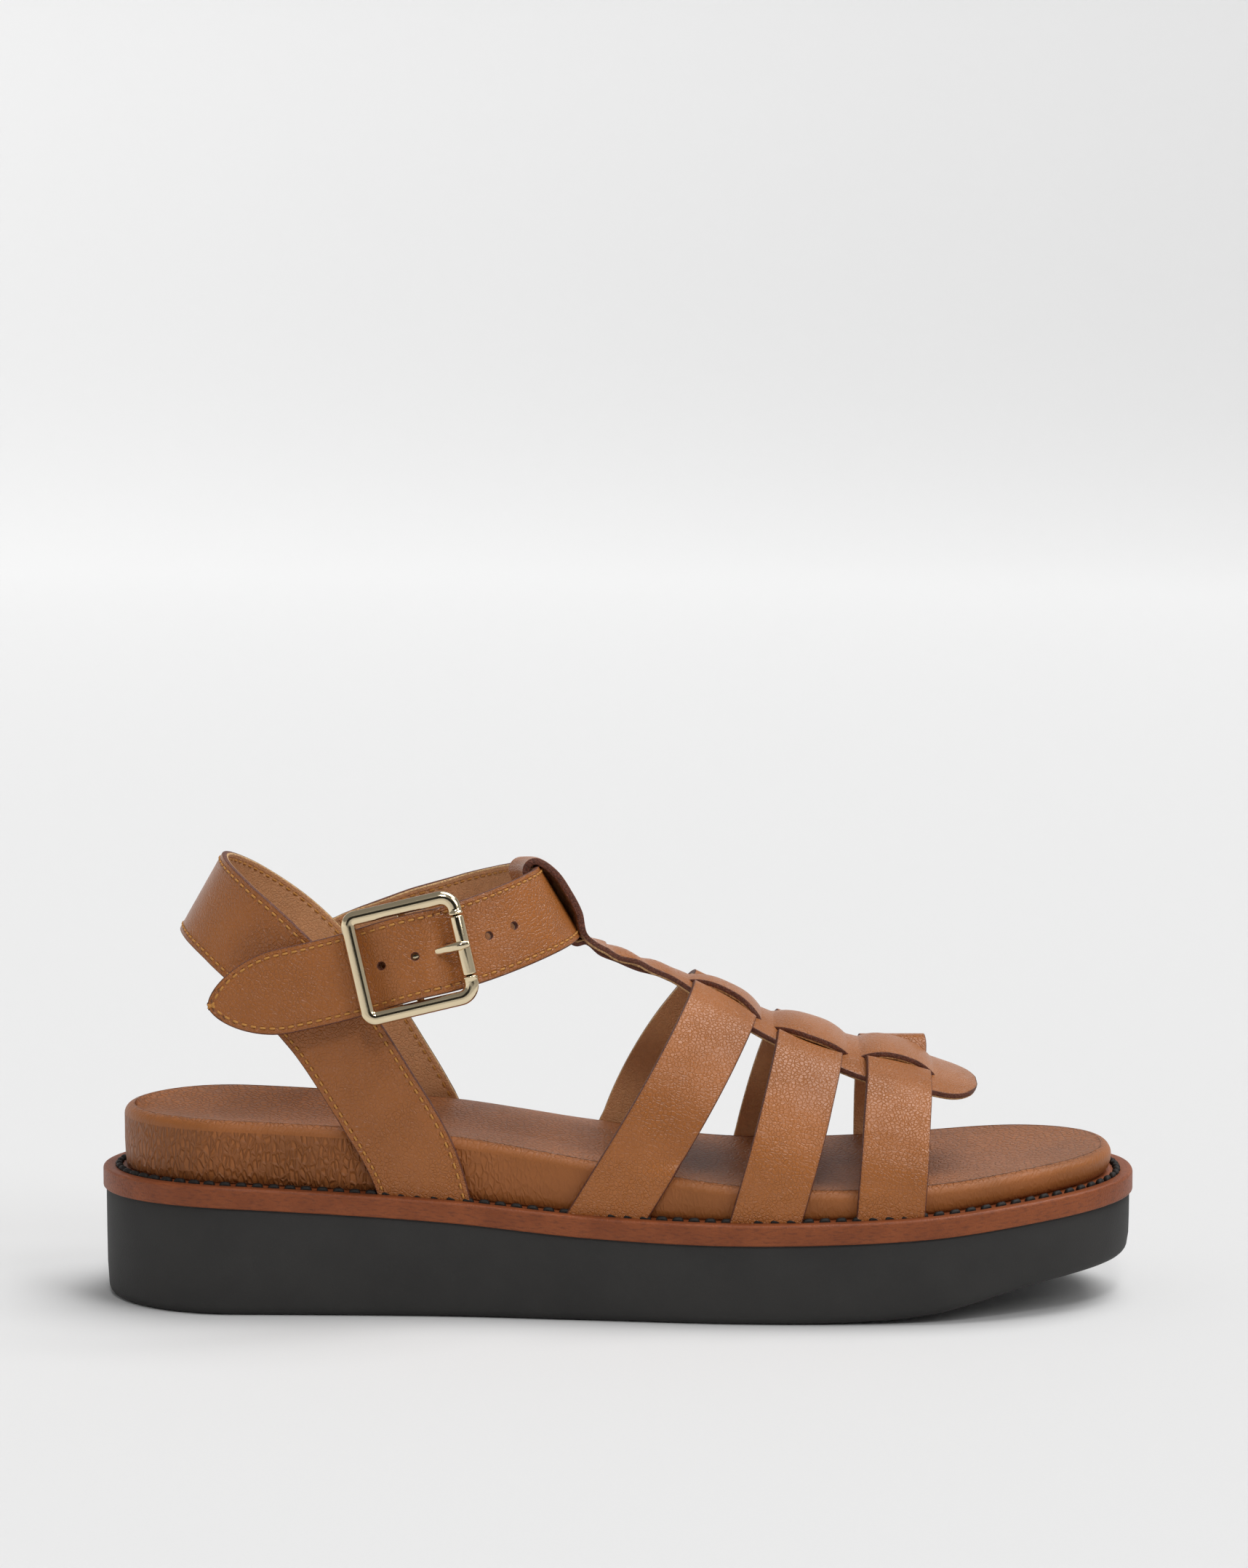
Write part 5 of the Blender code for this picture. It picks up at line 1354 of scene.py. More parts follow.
def tail():
    """The loop's tail: down behind the ankle strap and forward under the neck."""
    middle, up, out = ankle_front()
    half = ANKLE_STRAP_WIDTH / 2
    near = LEATHER + LOOP_GAP
    places = place_to_x(np.array([0.485, 0.500, 0.520, 0.540, 0.552]))
    ripple = NECK_RIPPLE * np.sin(2 * math.pi * places / NECK_WAVE)
    under = on_last(places, places * 0, LEATHER / 2 - TAIL_UNDER + ripple)[:, [0, 2]]
    line = smooth_line(np.vstack([
        middle + up * 2.5 * MM - out * near,
        middle - out * near,
        middle - up * (half - 3.0 * MM) - out * near,
        middle - up * (half + 1.3 * MM) - out * (near - 1.5 * MM),
        middle - up * (half + 1.9 * MM) + out * 0.9 * MM,
        under,
    ]), 90)
    across = across_shares(9, TAIL_HALF)[None, :] * (TAIL_HALF + 0 * line[:, :1])
    pull = 1 - np.clip((line[:, :1] - place_to_x(0.47)) / (10 * MM), 0.0, 1.0)
    back, sunk = front_sag(across)
    grid = np.stack([line[:, :1] - back * pull, across, line[:, 1:] - sunk * pull], axis=2)
    uv = np.stack([np.broadcast_to(lengths_along(line)[:, None], across.shape), across], axis=-1)
    down = np.zeros_like(grid)
    down[..., 2] = -1.0
    return strip("loop_tail", grid, uv, TAIL_HALF, band_leather, down, thickness=TAIL_LEATHER)


tail_piece = tail()
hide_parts("upper_vamp")
for part in bands + [tail_piece]:
    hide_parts("upper_vamp")

# %% [markdown]
# ## Heel strap and ankle strap
# The heel strap runs from welt to welt round the back of the heel. The ankle strap is sewn to
# it on the inner side, goes through the loop and the buckle, and ends in a point. Both are a
# line in space with a tilt at each place. The holes are real: a block of the grid is taken out
# round each, and a ring of quads leads from the block's edge to the hole's.

# %% Strap lines
HEEL_STRAP_WIDTH = 22.5 * MM
HEEL_FREE_RUN = 40.0 * MM
HEEL_STRAP = (
    # place, half_width, height, tilt
    (0.325, 0.530, 0.220, 0.0),
    (0.308, 0.524, 0.410, 3.0),
    (0.265, 0.508, 0.633, 5.0),
    (0.225, 0.492, 0.808, 8.0),
    (0.170, 0.440, 0.982, 14.0),
    (0.130, 0.320, 1.076, 22.0),
    (0.105, 0.140, 1.128, 28.0),
    (0.100, 0.000, 1.138, 29.5),
)


def strap_rows(table):
    """A strap's table in metres: place, half width, height and tilt."""
    return np.column_stack([
        place_to_x(column(table, 0)), column(table, 1) * ANKLE_WIDTH,
        column(table, 2) * INSTEP_HEIGHT, column(table, 3),
    ])


def heel_line(count):
    """The heel strap's line: its table on both sides, beside the footbed low down and free of
    it higher up."""
    sides = []
    for side, sign in ((LATERAL, -1.0), (MEDIAL, 1.0)):
        rows = strap_rows(HEEL_STRAP)
        x, y, z = rows[:, 0], rows[:, 1], rows[:, 2]
        beside = footbed_half(side, x) + LEATHER / 2 + 0.2 * MM
        free = smooth_step((z - rim_height(x) + 6 * MM) / (34 * MM))
        rows[:, 1] = sign * (beside + (y - beside) * free)
        sides.append(rows)
    return smooth_line(np.vstack([sides[0], sides[1][-2::-1]]), count)


def strap_axes(line, turn):
    """Directions along, across and outwards: the outer face looks to one side of the way in
    plan, and up by the tilt."""
    points = line[:, :3]
    along = unit(np.gradient(points, axis=0))
    plan = unit(np.column_stack([turn * -along[:, 1], turn * along[:, 0], 0 * along[:, 0]]))
    tilt = np.radians(line[:, 3:])
    outward = plan * np.cos(tilt) + np.array([[0.0, 0.0, 1.0]]) * np.sin(tilt)
    outward = unit(outward - along * np.sum(outward * along, axis=1)[:, None])
    across = unit(np.cross(outward, along))
    return along, across * np.sign(across[len(across) // 2, 2]), outward


print("heel strap's line in mm:", round(float(lengths_along(heel_line(200)[:, :3])[-1]) / MM, 1))

# %% Heel strap
HEEL_LINE = heel_line(900)
HEEL_LENGTHS = lengths_along(HEEL_LINE[:, :3])
HEEL_MIDDLE = HEEL_LENGTHS[-1] / 2
_, HEEL_ACROSS, HEEL_OUT = strap_axes(HEEL_LINE, 1.0)


def heel_surface(distance, offset):
    """The heel strap's middle surface and its outward direction, past its ends too."""
    wanted = np.asarray(distance) + HEEL_MIDDLE
    at = np.clip(wanted, 0.0, HEEL_LENGTHS[-1])
    base = read_along(HEEL_LINE[:, :3], HEEL_LENGTHS, at)
    first, last = (np.diff(HEEL_LINE[ends, :3], axis=0)[0] for ends in (slice(2), slice(-2, None)))
    step = np.where((wanted < at)[..., None], first, last)
    base = base + step / np.linalg.norm(first) * (wanted - at)[..., None]
    out = unit(read_along(HEEL_OUT, HEEL_LENGTHS, at))
    points = base + unit(read_along(HEEL_ACROSS, HEEL_LENGTHS, at)) * np.asarray(offset)[..., None]
    return clear_of_footbed(points), out


def heel_strap():
    """The heel strap's grid and leather."""
    half = HEEL_STRAP_WIDTH / 2
    offsets = across_shares(17, half) * half
    rows = np.linspace(-HEEL_MIDDLE + 6 * MM, HEEL_MIDDLE - 6 * MM, 220)
    at = to_the_welt(lambda d, o: heel_surface(d, o + 0 * d)[0], rows, offsets, HEEL_FREE_RUN)
    spread = np.broadcast_to(offsets, at.shape)
    grid, out = heel_surface(at, spread)
    return strip("heel_strap", grid, np.stack([at, spread], axis=-1), half, stitched_leather, out), at


heel_piece, HEEL_AT = heel_strap()

# %% [markdown]
# ## Ankle strap
# The ankle strap is cut to a point at its free end and sewn on to the heel strap's outer face
# at the other. A curve object with a bevel would bend as well, but it has no holes. So the strap
# is a grid on the ankle's line, and `on_heel_strap` moves its sewn end out by one leather, as a
# shrinkwrap would, with a soft start so that the strap doesn't kink.

# %% Ankle strap
SEWN_ROWS = (90.0 * MM, 15.0 * MM)
SEWN_OUT = 1.02 * LEATHER
SEWN_WHOLE = 1.5 * MM
SEWN_FADE = 14.0 * MM


def on_heel_strap(points):
    """Moves points on to the heel strap's outer face, one leather out from its middle surface.
    The move is whole at the heel strap and fades with the distance from it in the side view."""
    rows = np.linspace(*(HEEL_MIDDLE - row for row in SEWN_ROWS), 76)
    across = np.linspace(-0.5, 0.5, 11) * HEEL_STRAP_WIDTH
    skin, out = (part.reshape(-1, 3) for part in heel_surface(*np.broadcast_arrays(rows[:, None], across)))
    loose = points.reshape(-1, 3)
    apart = np.linalg.norm(loose[:, None, ::2] - skin[None, :, ::2], axis=2)
    apart = np.where(loose[:, 1:2] > 0, apart, 1.0)
    near = np.argmin(apart, axis=1)
    height = np.sum((loose - skin[near]) * out[near], axis=1)
    share = 1 - smooth_step((apart.min(axis=1) - SEWN_WHOLE) / SEWN_FADE)
    moved = loose + out[near] * ((SEWN_OUT - height) * share)[:, None]
    return moved.reshape(points.shape)


TIP_LENGTH = 19.0 * MM
TIP_HALF = 0.9 * MM
STRAP_BULGE = 3.7 * MM
BULGE_FLAT = 3.6 * MM
BULGE_FADE = 8.0 * MM
BUCKLE_PLACE = 0.3045
HOLES = (
    # distance from the buckle, reach of the block, half length, half width
    (-7.1 * MM, 1.9 * MM, 0.95 * MM, 0.95 * MM),
    (1.2 * MM, 1.9 * MM, 0.95 * MM, 0.95 * MM),
    (9.2 * MM, 3.4 * MM, 2.30 * MM, 1.25 * MM),
    (20.7 * MM, 1.9 * MM, 0.95 * MM, 0.95 * MM),
    (28.3 * MM, 1.9 * MM, 0.95 * MM, 0.95 * MM),
)

ANKLE_LINE = smooth_line(strap_rows(ANKLE_STRAP), 1200)
ANKLE_LENGTHS = lengths_along(ANKLE_LINE[:, :3])
ANKLE_ALONG, ANKLE_ACROSS, ANKLE_OUT = strap_axes(ANKLE_LINE, -1.0)
FROM_BUCKLE = np.abs(ANKLE_LINE[:, 0] - place_to_x(BUCKLE_PLACE))
BUCKLE_AT = int(np.argmin(np.where(ANKLE_LINE[:, 1] > 0, LENGTH, FROM_BUCKLE)))
BUCKLE_CENTRE = ANKLE_LENGTHS[BUCKLE_AT]


def ankle_half(distance):
    """Half the strap's width: a superellipse at its free end, then even."""
    near_tip = np.clip(1 - distance / TIP_LENGTH, 0.0, 1.0)
    return np.maximum(ANKLE_STRAP_WIDTH / 2 * (1 - near_tip**1.7) ** 0.62, TIP_HALF)


def ankle_surface(distance, offset):
    """The ankle strap's middle surface, bulged over the buckle's centre bar, and its outward
    direction. The distance is from the free tip."""
    away = np.abs(distance - BUCKLE_CENTRE) - BULGE_FLAT
    bulge = STRAP_BULGE * (1 - smooth_step(away / BULGE_FADE))
    base = read_along(ANKLE_LINE[:, :3], ANKLE_LENGTHS, distance)
    out = unit(read_along(ANKLE_OUT, ANKLE_LENGTHS, distance))
    side = unit(read_along(ANKLE_ACROSS, ANKLE_LENGTHS, distance))
    return on_heel_strap(base + out * bulge[..., None] + side * np.asarray(offset)[..., None]), out


def ankle_rows(holes):
    """Distances along the strap: close at the tip, five across each hole, even between."""
    stops = [TIP_LENGTH]
    for middle, reach, _, _ in holes:
        stops += [middle - reach, middle + reach]
    stops.append(ANKLE_LENGTHS[-1])
    rows = [TIP_LENGTH * (1 - np.cos(np.linspace(0.0, math.pi / 2, 22)))]
    for k, (low, high) in enumerate(zip(stops[:-1], stops[1:])):
        count = 5 if k % 2 else max(2, int((high - low) / (1.1 * MM)))
        rows.append(np.linspace(low, high, count))
    return np.unique(np.concatenate(rows).round(9))


def ankle_strap():
    """The ankle strap with its holes: the quads round each hole lead from a block of four by
    four cells to an ellipse, in the directions of the block's points."""
    holes = [(BUCKLE_CENTRE + distance, *sizes) for distance, *sizes in HOLES]
    rows = ankle_rows(holes)
    shares = np.array([0.0, 0.09, 0.18, 0.32, 0.48, 0.64, 0.80, 0.93, 1.0])
    shares = np.concatenate([-shares[:0:-1], shares])
    half = ankle_half(rows)
    spread = half[:, None] * shares
    at = np.broadcast_to(rows[:, None], spread.shape)
    middle = len(shares) // 2
    index = np.arange(spread.size).reshape(spread.shape)
    keep = np.ones((len(rows) - 1, len(shares) - 1), bool)
    extra_at, extra_spread, rings = [], [], []
    count = spread.size
    for place, _, long, wide in holes:
        i = int(np.argmin(np.abs(rows - place))) - 2
        j = middle - 2
        keep[i:i + 4, j:j + 4] = False
        k = np.arange(4)
        ring_i = np.concatenate([i + k, np.full(4, i + 4), i + 4 - k, np.full(4, i)])
        ring_j = np.concatenate([np.full(4, j), j + k, np.full(4, j + 4), j + 4 - k])
        angle = np.arctan2((ring_j - middle) / 2.0, (ring_i - i - 2) / 2.0)
        extra_at.append(place + long * np.cos(angle))
        extra_spread.append(wide * np.sin(angle))
        outer = index[ring_i, ring_j]
        inner = count + np.arange(16)
        count += 16
        rings.append(np.stack([outer, np.roll(outer, -1), np.roll(inner, -1), inner], axis=1))
    quads = np.vstack([grid_quads(index)[keep.ravel()]] + rings)
    at = np.concatenate([at.ravel()] + extra_at)
    spread = np.concatenate([spread.ravel()] + extra_spread)
    points, out = ankle_surface(at, spread)
    tip = TIP_LENGTH - np.minimum(at, TIP_LENGTH)
    margin = np.minimum(ankle_half(at) - np.abs(spread), np.where(tip > 0, at + 0.2 * MM, 1.0))
    return leather("ankle_strap", points, quads, np.column_stack([at, spread]), margin, stitched_leather, out)


ankle_piece = ankle_strap()
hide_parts("upper_quarter")
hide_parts("upper_quarter")

# %% [markdown]
# ## Buckle
# A rounded square of cast metal with a roller on its front bar. The prong is folded round the
# centre bar under the strap, comes up through a hole and rests on the roller. Bars are closed
# curves with a section that is a superellipse, a little squarer than round: Blender's own curve
# bevel keeps one size along the curve, and these bars swell and thin.

# %% Buckle axes
BUCKLE_LENGTH = 30.5 * MM
BUCKLE_BAR = 3.6 * MM
BUCKLE_THICKNESS = 2.6 * MM
FRAME_LIFT = 3.3 * MM
ROLLER_RADIUS = 1.9 * MM
BUCKLE_CORNER = 3.4 * MM
BUCKLE_BACK_CORNER = 1.9 * MM
BUCKLE_CLEARANCE = 0.4 * MM
HALF_LENGTH = (BUCKLE_LENGTH - BUCKLE_BAR) / 2
HALF_HEIGHT = (ANKLE_STRAP_WIDTH + 2 * BUCKLE_CLEARANCE + BUCKLE_BAR) / 2

BUCKLE_ORIGIN = ANKLE_LINE[BUCKLE_AT, :3]
BUCKLE_AXES = np.column_stack([ANKLE_ALONG[BUCKLE_AT], ANKLE_ACROSS[BUCKLE_AT], ANKLE_OUT[BUCKLE_AT]])


def from_buckle(points):
    """Points in the buckle's axes (along, up, out), placed on the ankle strap."""
    return BUCKLE_ORIGIN + np.asarray(points) @ BUCKLE_AXES.T


print("half the buckle's frame in mm:", round(HALF_LENGTH / MM, 2), round(HALF_HEIGHT / MM, 2))


def rod(line, across, wide, thick, sides=24, power=2.0, closed=False):
    """A bar of the buckle along a line: its section is |a|^power + |b|^power = 1."""
    line = np.asarray(line, float)
    if closed:
        along = unit(np.roll(line, -1, axis=0) - np.roll(line, 1, axis=0))
        line, along = (np.vstack([v, v[:1]]) for v in (line, along))
        wide, thick = (np.append(v, v[:1]) for v in (wide, thick))
    else:
        along = unit(np.gradient(line, axis=0))
    across = np.asarray(across, float) + 0 * line
    side = unit(across - along * np.sum(across * along, axis=1)[:, None])
    out = np.cross(side, along)
    turn = np.linspace(0.0, 2 * math.pi, sides + 1)
    cos, sin = np.cos(turn), np.sin(turn)
    square = (np.abs(cos) ** power + np.abs(sin) ** power) ** (-1 / power)
    wide, thick = np.broadcast_to(wide, len(line)), np.broadcast_to(thick, len(line))
    rings = line[:, None] + side[:, None] * (wide[:, None] * cos * square)[..., None]
    rings = rings + out[:, None] * (thick[:, None] * sin * square)[..., None]
    around = turn * float(np.max(thick))
    uv = np.stack(np.broadcast_arrays(lengths_along(line)[:, None], around[None, :]), axis=-1)
    return patch(from_buckle(rings), uv, flip=True)


def domed(line, wide, thick, steps=6):
    """Ends for a rod: rows that close each end with a quarter round."""
    line = np.asarray(line, float)
    wide = np.broadcast_to(wide, len(line)).astype(float)
    thick = np.broadcast_to(thick, len(line)).astype(float)
    angle = np.linspace(math.pi / 2, 0.0, steps)[:-1]
    first = unit(line[0] - line[1])
    last = unit(line[-1] - line[-2])
    head = line[0] + first * (thick[0] * np.sin(angle))[:, None]
    foot = line[-1] + last * (thick[-1] * np.sin(angle[::-1]))[:, None]
    shrink = np.maximum(np.cos(angle), 1e-4)
    return (
        np.vstack([head, line, foot]),
        np.concatenate([wide[0] * shrink, wide, wide[-1] * shrink[::-1]]),
        np.concatenate([thick[0] * shrink, thick, thick[-1] * shrink[::-1]]),
    )


# %% Frame, bar and roller
COLLAR_FROM = 0.825
COLLAR_TO = 0.88
CORE_RADIUS = ROLLER_RADIUS - 1.0 * MM
BAR_RADIUS = 1.0 * MM


def at_lift(along, up):
    """Points of the frame's middle plane, in the buckle's axes."""
    along, up = np.broadcast_arrays(along, up)
    return np.column_stack([along, up, np.full(len(along), FRAME_LIFT)])


def frame_line():
    """The frame's line: four rounded corners, and a thin front bar between two collars."""
    line = []
    for along, up, start in ((1, -1, -90), (1, 1, 0), (-1, 1, 90), (-1, -1, 180)):
        radius = BUCKLE_CORNER if along > 0 else BUCKLE_BACK_CORNER
        angle = np.radians(start + np.linspace(0, 90, 16))
        line.append(at_lift(along * (HALF_LENGTH - radius) + radius * np.cos(angle),
                            up * (HALF_HEIGHT - radius) + radius * np.sin(angle)))
    reach = HALF_HEIGHT - BUCKLE_CORNER
    shares = np.array([-0.93, -0.90, -0.86, -0.835, -0.82, 0.0, 0.82, 0.835, 0.86, 0.90, 0.93])
    bar = at_lift(HALF_LENGTH, shares * reach)
    long_top = np.linspace(HALF_LENGTH - BUCKLE_CORNER, -HALF_LENGTH + BUCKLE_BACK_CORNER, 12)[1:-1]
    top = at_lift(long_top, HALF_HEIGHT)
    back_up = np.linspace(HALF_HEIGHT - BUCKLE_BACK_CORNER, -HALF_HEIGHT + BUCKLE_BACK_CORNER, 10)[1:-1]
    back = at_lift(-HALF_LENGTH, back_up)
    under = top[::-1] * np.array([1.0, -1.0, 1.0])
    return np.vstack([line[0], bar, line[1], top, line[2], back, line[3], under])


buckle_line = frame_line()
on_bar = np.abs(buckle_line[:, 0] - HALF_LENGTH) < 1e-9
share_up = np.abs(buckle_line[:, 1]) / (HALF_HEIGHT - BUCKLE_CORNER)
thin = np.where(on_bar, 1 - smooth_step((share_up - COLLAR_FROM) / 0.03), 0.0)
collar = smooth_step((share_up - COLLAR_FROM) / 0.02) * (1 - smooth_step((share_up - COLLAR_TO) / 0.04))
collar = np.where(on_bar, collar, 0.0)
wide = BUCKLE_BAR / 2 * (1 - thin) + CORE_RADIUS * thin + 0.25 * MM * collar
thick = BUCKLE_THICKNESS / 2 * (1 - thin) + CORE_RADIUS * thin + 0.55 * MM * collar
frame_patch = rod(buckle_line, (0.0, 0.0, 1.0), thick, wide, sides=28, power=2.1, closed=True)
buckle_frame = piece("buckle_frame_cast", [frame_patch], gold_finish)

bar = [(0.0, -HALF_HEIGHT, FRAME_LIFT), (0.0, -HALF_HEIGHT + 0.6 * MM, 0.8 * MM),
       (0.0, -HALF_HEIGHT + 2.2 * MM, 0.0), (0.0, 0.0, 0.0), (0.0, HALF_HEIGHT - 2.2 * MM, 0.0),
       (0.0, HALF_HEIGHT - 0.6 * MM, 0.8 * MM), (0.0, HALF_HEIGHT, FRAME_LIFT)]
bar_line, bar_wide, bar_thick = domed(smooth_line(np.array(bar), 40), BAR_RADIUS, BAR_RADIUS)
centre_bar = piece("buckle_centre_bar", [rod(bar_line, (1.0, 0.0, 0.0), bar_wide, bar_thick)],
                   gold_finish)

reach = 0.80 * (HALF_HEIGHT - BUCKLE_CORNER)
ups = np.array([-1.0, -1.0, -0.985, -0.95, 0.0, 0.95, 0.985, 1.0, 1.0]) * reach
radii = np.array([1.0, 1.65, 1.86, 1.9, 1.9, 1.9, 1.86, 1.65, 1.0]) * MM
roller_turn = np.linspace(0.0, 2 * math.pi, 41)
ring = np.stack([np.cos(roller_turn), np.zeros(41), np.sin(roller_turn)], axis=-1)


def roller_patch(ups, radii):
    """A turned surface about the front bar: a ring of each radius at each height."""
    points = at_lift(HALF_LENGTH, ups)[:, None] + ring[None] * np.asarray(radii)[:, None, None]
    uv = np.stack(np.broadcast_arrays(ups[:, None], roller_turn[None, :]), axis=-1)
    return patch(from_buckle(points), uv)


closed_profile = [np.append(part, part[:1]) for part in (ups, radii)]
roller = piece("buckle_roller_tube", [roller_patch(*closed_profile)], gold_finish)
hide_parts("buckle_frame")
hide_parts("buckle_frame")
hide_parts("buckle_roller")

# %% [markdown]
# ## Prong
# The prong is a pin whose flattened root is folded round the centre bar, so that it can turn.
# One rod does both: its line winds round the bar and then rises over the roller, and its
# section goes from a flat strip to a tapered pin. Its width and its thickness are read along
# the same line.

# %% Prong
FOLD_RADIUS = 1.75 * MM
PRONG_WIDE = np.array([1.2, 1.2, 1.2, 1.15, 1.15, 1.15, 1.1, 0.8]) * MM
PRONG_THICK = np.array([0.42, 0.45, 0.55, 0.75, 0.85, 0.85, 0.8, 0.5]) * MM
ROOT_STEPS = 30


def prong():
    """The prong: a strip folded round the centre bar that becomes a tapered rod."""
    radius = FOLD_RADIUS
    turn = np.radians(np.linspace(20, -265, ROOT_STEPS))
    root = np.column_stack([radius * np.cos(turn), 0 * turn, radius * np.sin(turn)])
    top = FRAME_LIFT + ROLLER_RADIUS + 1.15 * MM * 0.75 + 0.2 * MM
    rest = np.array([
        (3.2 * MM, 0.0, radius + 0.1 * MM),
        (5.6 * MM, 0.0, radius + 0.6 * MM),
        (8.0 * MM, 0.0, radius + 2.0 * MM),
        (10.4 * MM, 0.0, top - 0.9 * MM),
        (HALF_LENGTH - 0.8 * MM, 0.0, top),
        (HALF_LENGTH + 1.4 * MM, 0.0, top - 0.1 * MM),
    ])
    line = np.vstack([root, rest])
    lengths = lengths_along(line)
    at = np.linspace(0.0, lengths[-1], 90)
    pin = lengths[ROOT_STEPS - 2:]
    wide, thick = (curve_through(pin, sizes, np.maximum(at, pin[0])) for sizes in (PRONG_WIDE, PRONG_THICK))
    smooth, wide, thick = domed(smooth_line(line, len(at)), wide, thick)
    return piece("buckle_prong_rod", [rod(smooth, (0.0, 1.0, 0.0), wide, thick)], gold_finish)


prong_piece = prong()
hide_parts("buckle_prong")

# %% [markdown]
# ## Chape
# The chape is the leather that holds the buckle: a thin strip folded round the centre bar, with
# a slot for the prong, its two plies laid back against the heel strap. It is leather from a
# surface like the straps, with the slot left out of its quads, so the slot gets a rim too.

# %% Chape
CHAPE_WIDTH = 16.0 * MM
CHAPE_LENGTH = 26.0 * MM
CHAPE_DROP = -3.3 * MM
CHAPE_LEATHER = 0.75 * MM
CHAPE_RIM = 0.2 * MM
CHAPE_SLOT = (-4.5 * MM, 1.5 * MM)


def chape():
    """The chape: folded round the centre bar, its two plies laid back along the heel strap."""
    apart = (CHAPE_LEATHER + SEAT_GAP) / 2
    turn = np.radians(np.linspace(95, -95, 21))
    fold = np.column_stack([FOLD_RADIUS * np.cos(turn), 0 * turn, FOLD_RADIUS * np.sin(turn)])
    shares = np.array([1.0, 0.75, 0.50, 0.30, 0.16])
    drops = np.array([1.0, 0.84, 0.68, 0.40, 0.14]) * CHAPE_DROP
    spread = np.array([1.0, 1.0, 1.0, 1.15, 1.9]) * apart
    plies = [np.column_stack([-CHAPE_LENGTH * shares, 0 * spread, drops + side])
             for side in (spread, -spread)]
    line = smooth_line(np.vstack([plies[0], fold, plies[1][::-1]]), 140)
    offsets = across_shares(13, CHAPE_WIDTH / 2) * CHAPE_WIDTH / 2
    grid = line[:, None] + np.array([0.0, 1.0, 0.0]) * offsets[None, :, None]
    slot = (grid[..., 0] > CHAPE_SLOT[0]) & (np.abs(grid[..., 1]) < CHAPE_SLOT[1])
    quads = grid_quads(grid_numbers(*grid.shape[:2]))
    quads = quads[~np.any(slot.ravel()[quads], axis=1)]
    uv = np.stack(np.broadcast_arrays(lengths_along(line)[:, None], offsets), axis=-1)
    margin = CHAPE_WIDTH / 2 - np.abs(uv[..., 1])
    lean = np.zeros_like(grid)
    lean[:40] = from_buckle(np.array([[0.0, 0.0, 1.0]])) - BUCKLE_ORIGIN
    return leather("chape_fold", from_buckle(grid).reshape(-1, 3), quads, uv.reshape(-1, 2), margin.ravel(),
                   band_leather, lean.reshape(-1, 3), thickness=CHAPE_LEATHER, radius=CHAPE_RIM)


chape_piece = chape()
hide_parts("buckle_chape")

# %% [markdown]
# ## Stitches
# Thread is what shows that a strap is sewn. Each stitch is a short rod that rises out of one
# hole and sinks into the next, so it has only a few dozen faces, and all the stitches of a seam
# are one mesh. They follow a line on the strap's surface, at an even pitch.

# %% Stitches on a surface
THREAD_SIDES = 8


def stitched(name, surface, path, finish, slot_name, pitch, length, radius, lift, slant=0.0, rings=7):
    """Stitches along a path of (distance, offset) on a surface. Along each, t goes from -1 to
    1: the rod's radius is radius sqrt(1 - t^6) and its height falls by t^4 of the radius."""
    lengths = lengths_along(path)
    count = int(round(lengths[-1] / pitch))
    centres = (np.arange(count) + 0.5) * lengths[-1] / count
    t = np.linspace(-1.0, 1.0, rings)
    at = centres[:, None] + t[None, :] * length / 2
    place = read_along(path, lengths, at)
    points, out = surface(place[..., 0], place[..., 1])
    along = unit(np.gradient(points, axis=1))
    side = unit(np.cross(out, along))
    points = points + side * (slant * t[None, :, None])
    turn = np.linspace(0.0, 2 * math.pi, THREAD_SIDES + 1)
    swell = radius * np.sqrt(np.maximum(1 - t**6, 0.0))
    height = lift - 1.1 * radius * t**4
    up = height[:, None] + swell[:, None] * np.sin(turn)
    beside = 1.15 * swell[:, None] * np.cos(turn)
    rods = points[:, :, None] + out[:, :, None] * up[..., None] + side[:, :, None] * beside[..., None]
    index = grid_numbers(rings, THREAD_SIDES + 1)
    quads = grid_quads(index)[None] + (np.arange(count) * index.size)[:, None, None]
    u = np.broadcast_to((at - centres[:, None])[..., None], rods.shape[:3])
    v = np.broadcast_to(turn * radius, rods.shape[:3])
    made = {"points": rods.reshape(-1, 3), "quads": quads.reshape(-1, 4),
            "uv": np.stack([u, v], -1).reshape(-1, 2), "fields": {}}
    return piece(name, [made], finish)


def inset_path(points, inset):
    """A line in the plane, moved to its left by inset."""
    along = unit(np.gradient(points, axis=0))
    return points + np.column_stack([-along[:, 1], along[:, 0]]) * inset


print("the x axis moved left by one:", inset_path(np.array([[0.0, 0.0], [2.0, 0.0]]), 1.0).tolist())

# %% Strap stitches
STITCH_LENGTH = 1.75 * MM
STITCH_RADIUS = 0.25 * MM
LIFT = LEATHER / 2 + 0.05 * MM
SEAM_END = 1.5 * MM
SEWN_END_INSETS = (2.2 * MM, 4.6 * MM)


def heel_path(sign):
    """The heel strap's seam near one edge, from welt to welt."""
    edge = HEEL_AT[:, -1 if sign > 0 else 0]
    distance = np.linspace(edge[0] + SEAM_END, edge[-1] - SEAM_END, 600)
    return np.column_stack([distance, np.full(600, sign * (HEEL_STRAP_WIDTH / 2 - STITCH_MARGIN))])


def inside(surface):
    """The same surface seen from its lining: its direction points inwards."""
    def turned(distance, offset):
        points, out = surface(distance, offset)
        return points, -out
    return turned


def strap_seam(name, surface, path, lift=LIFT):
    """A row of gold stitches on a strap."""
    return stitched(name, surface, path, gold_thread, "upper", STITCH_PITCH, STITCH_LENGTH,
                    STITCH_RADIUS, lift)


seams = []
for sign, label in ((1, "upper"), (-1, "lower")):
    seams.append(strap_seam("heel_seam_%s" % label, heel_surface, heel_path(sign)))
    seams.append(strap_seam("heel_lining_seam_%s" % label, inside(heel_surface), heel_path(sign)))

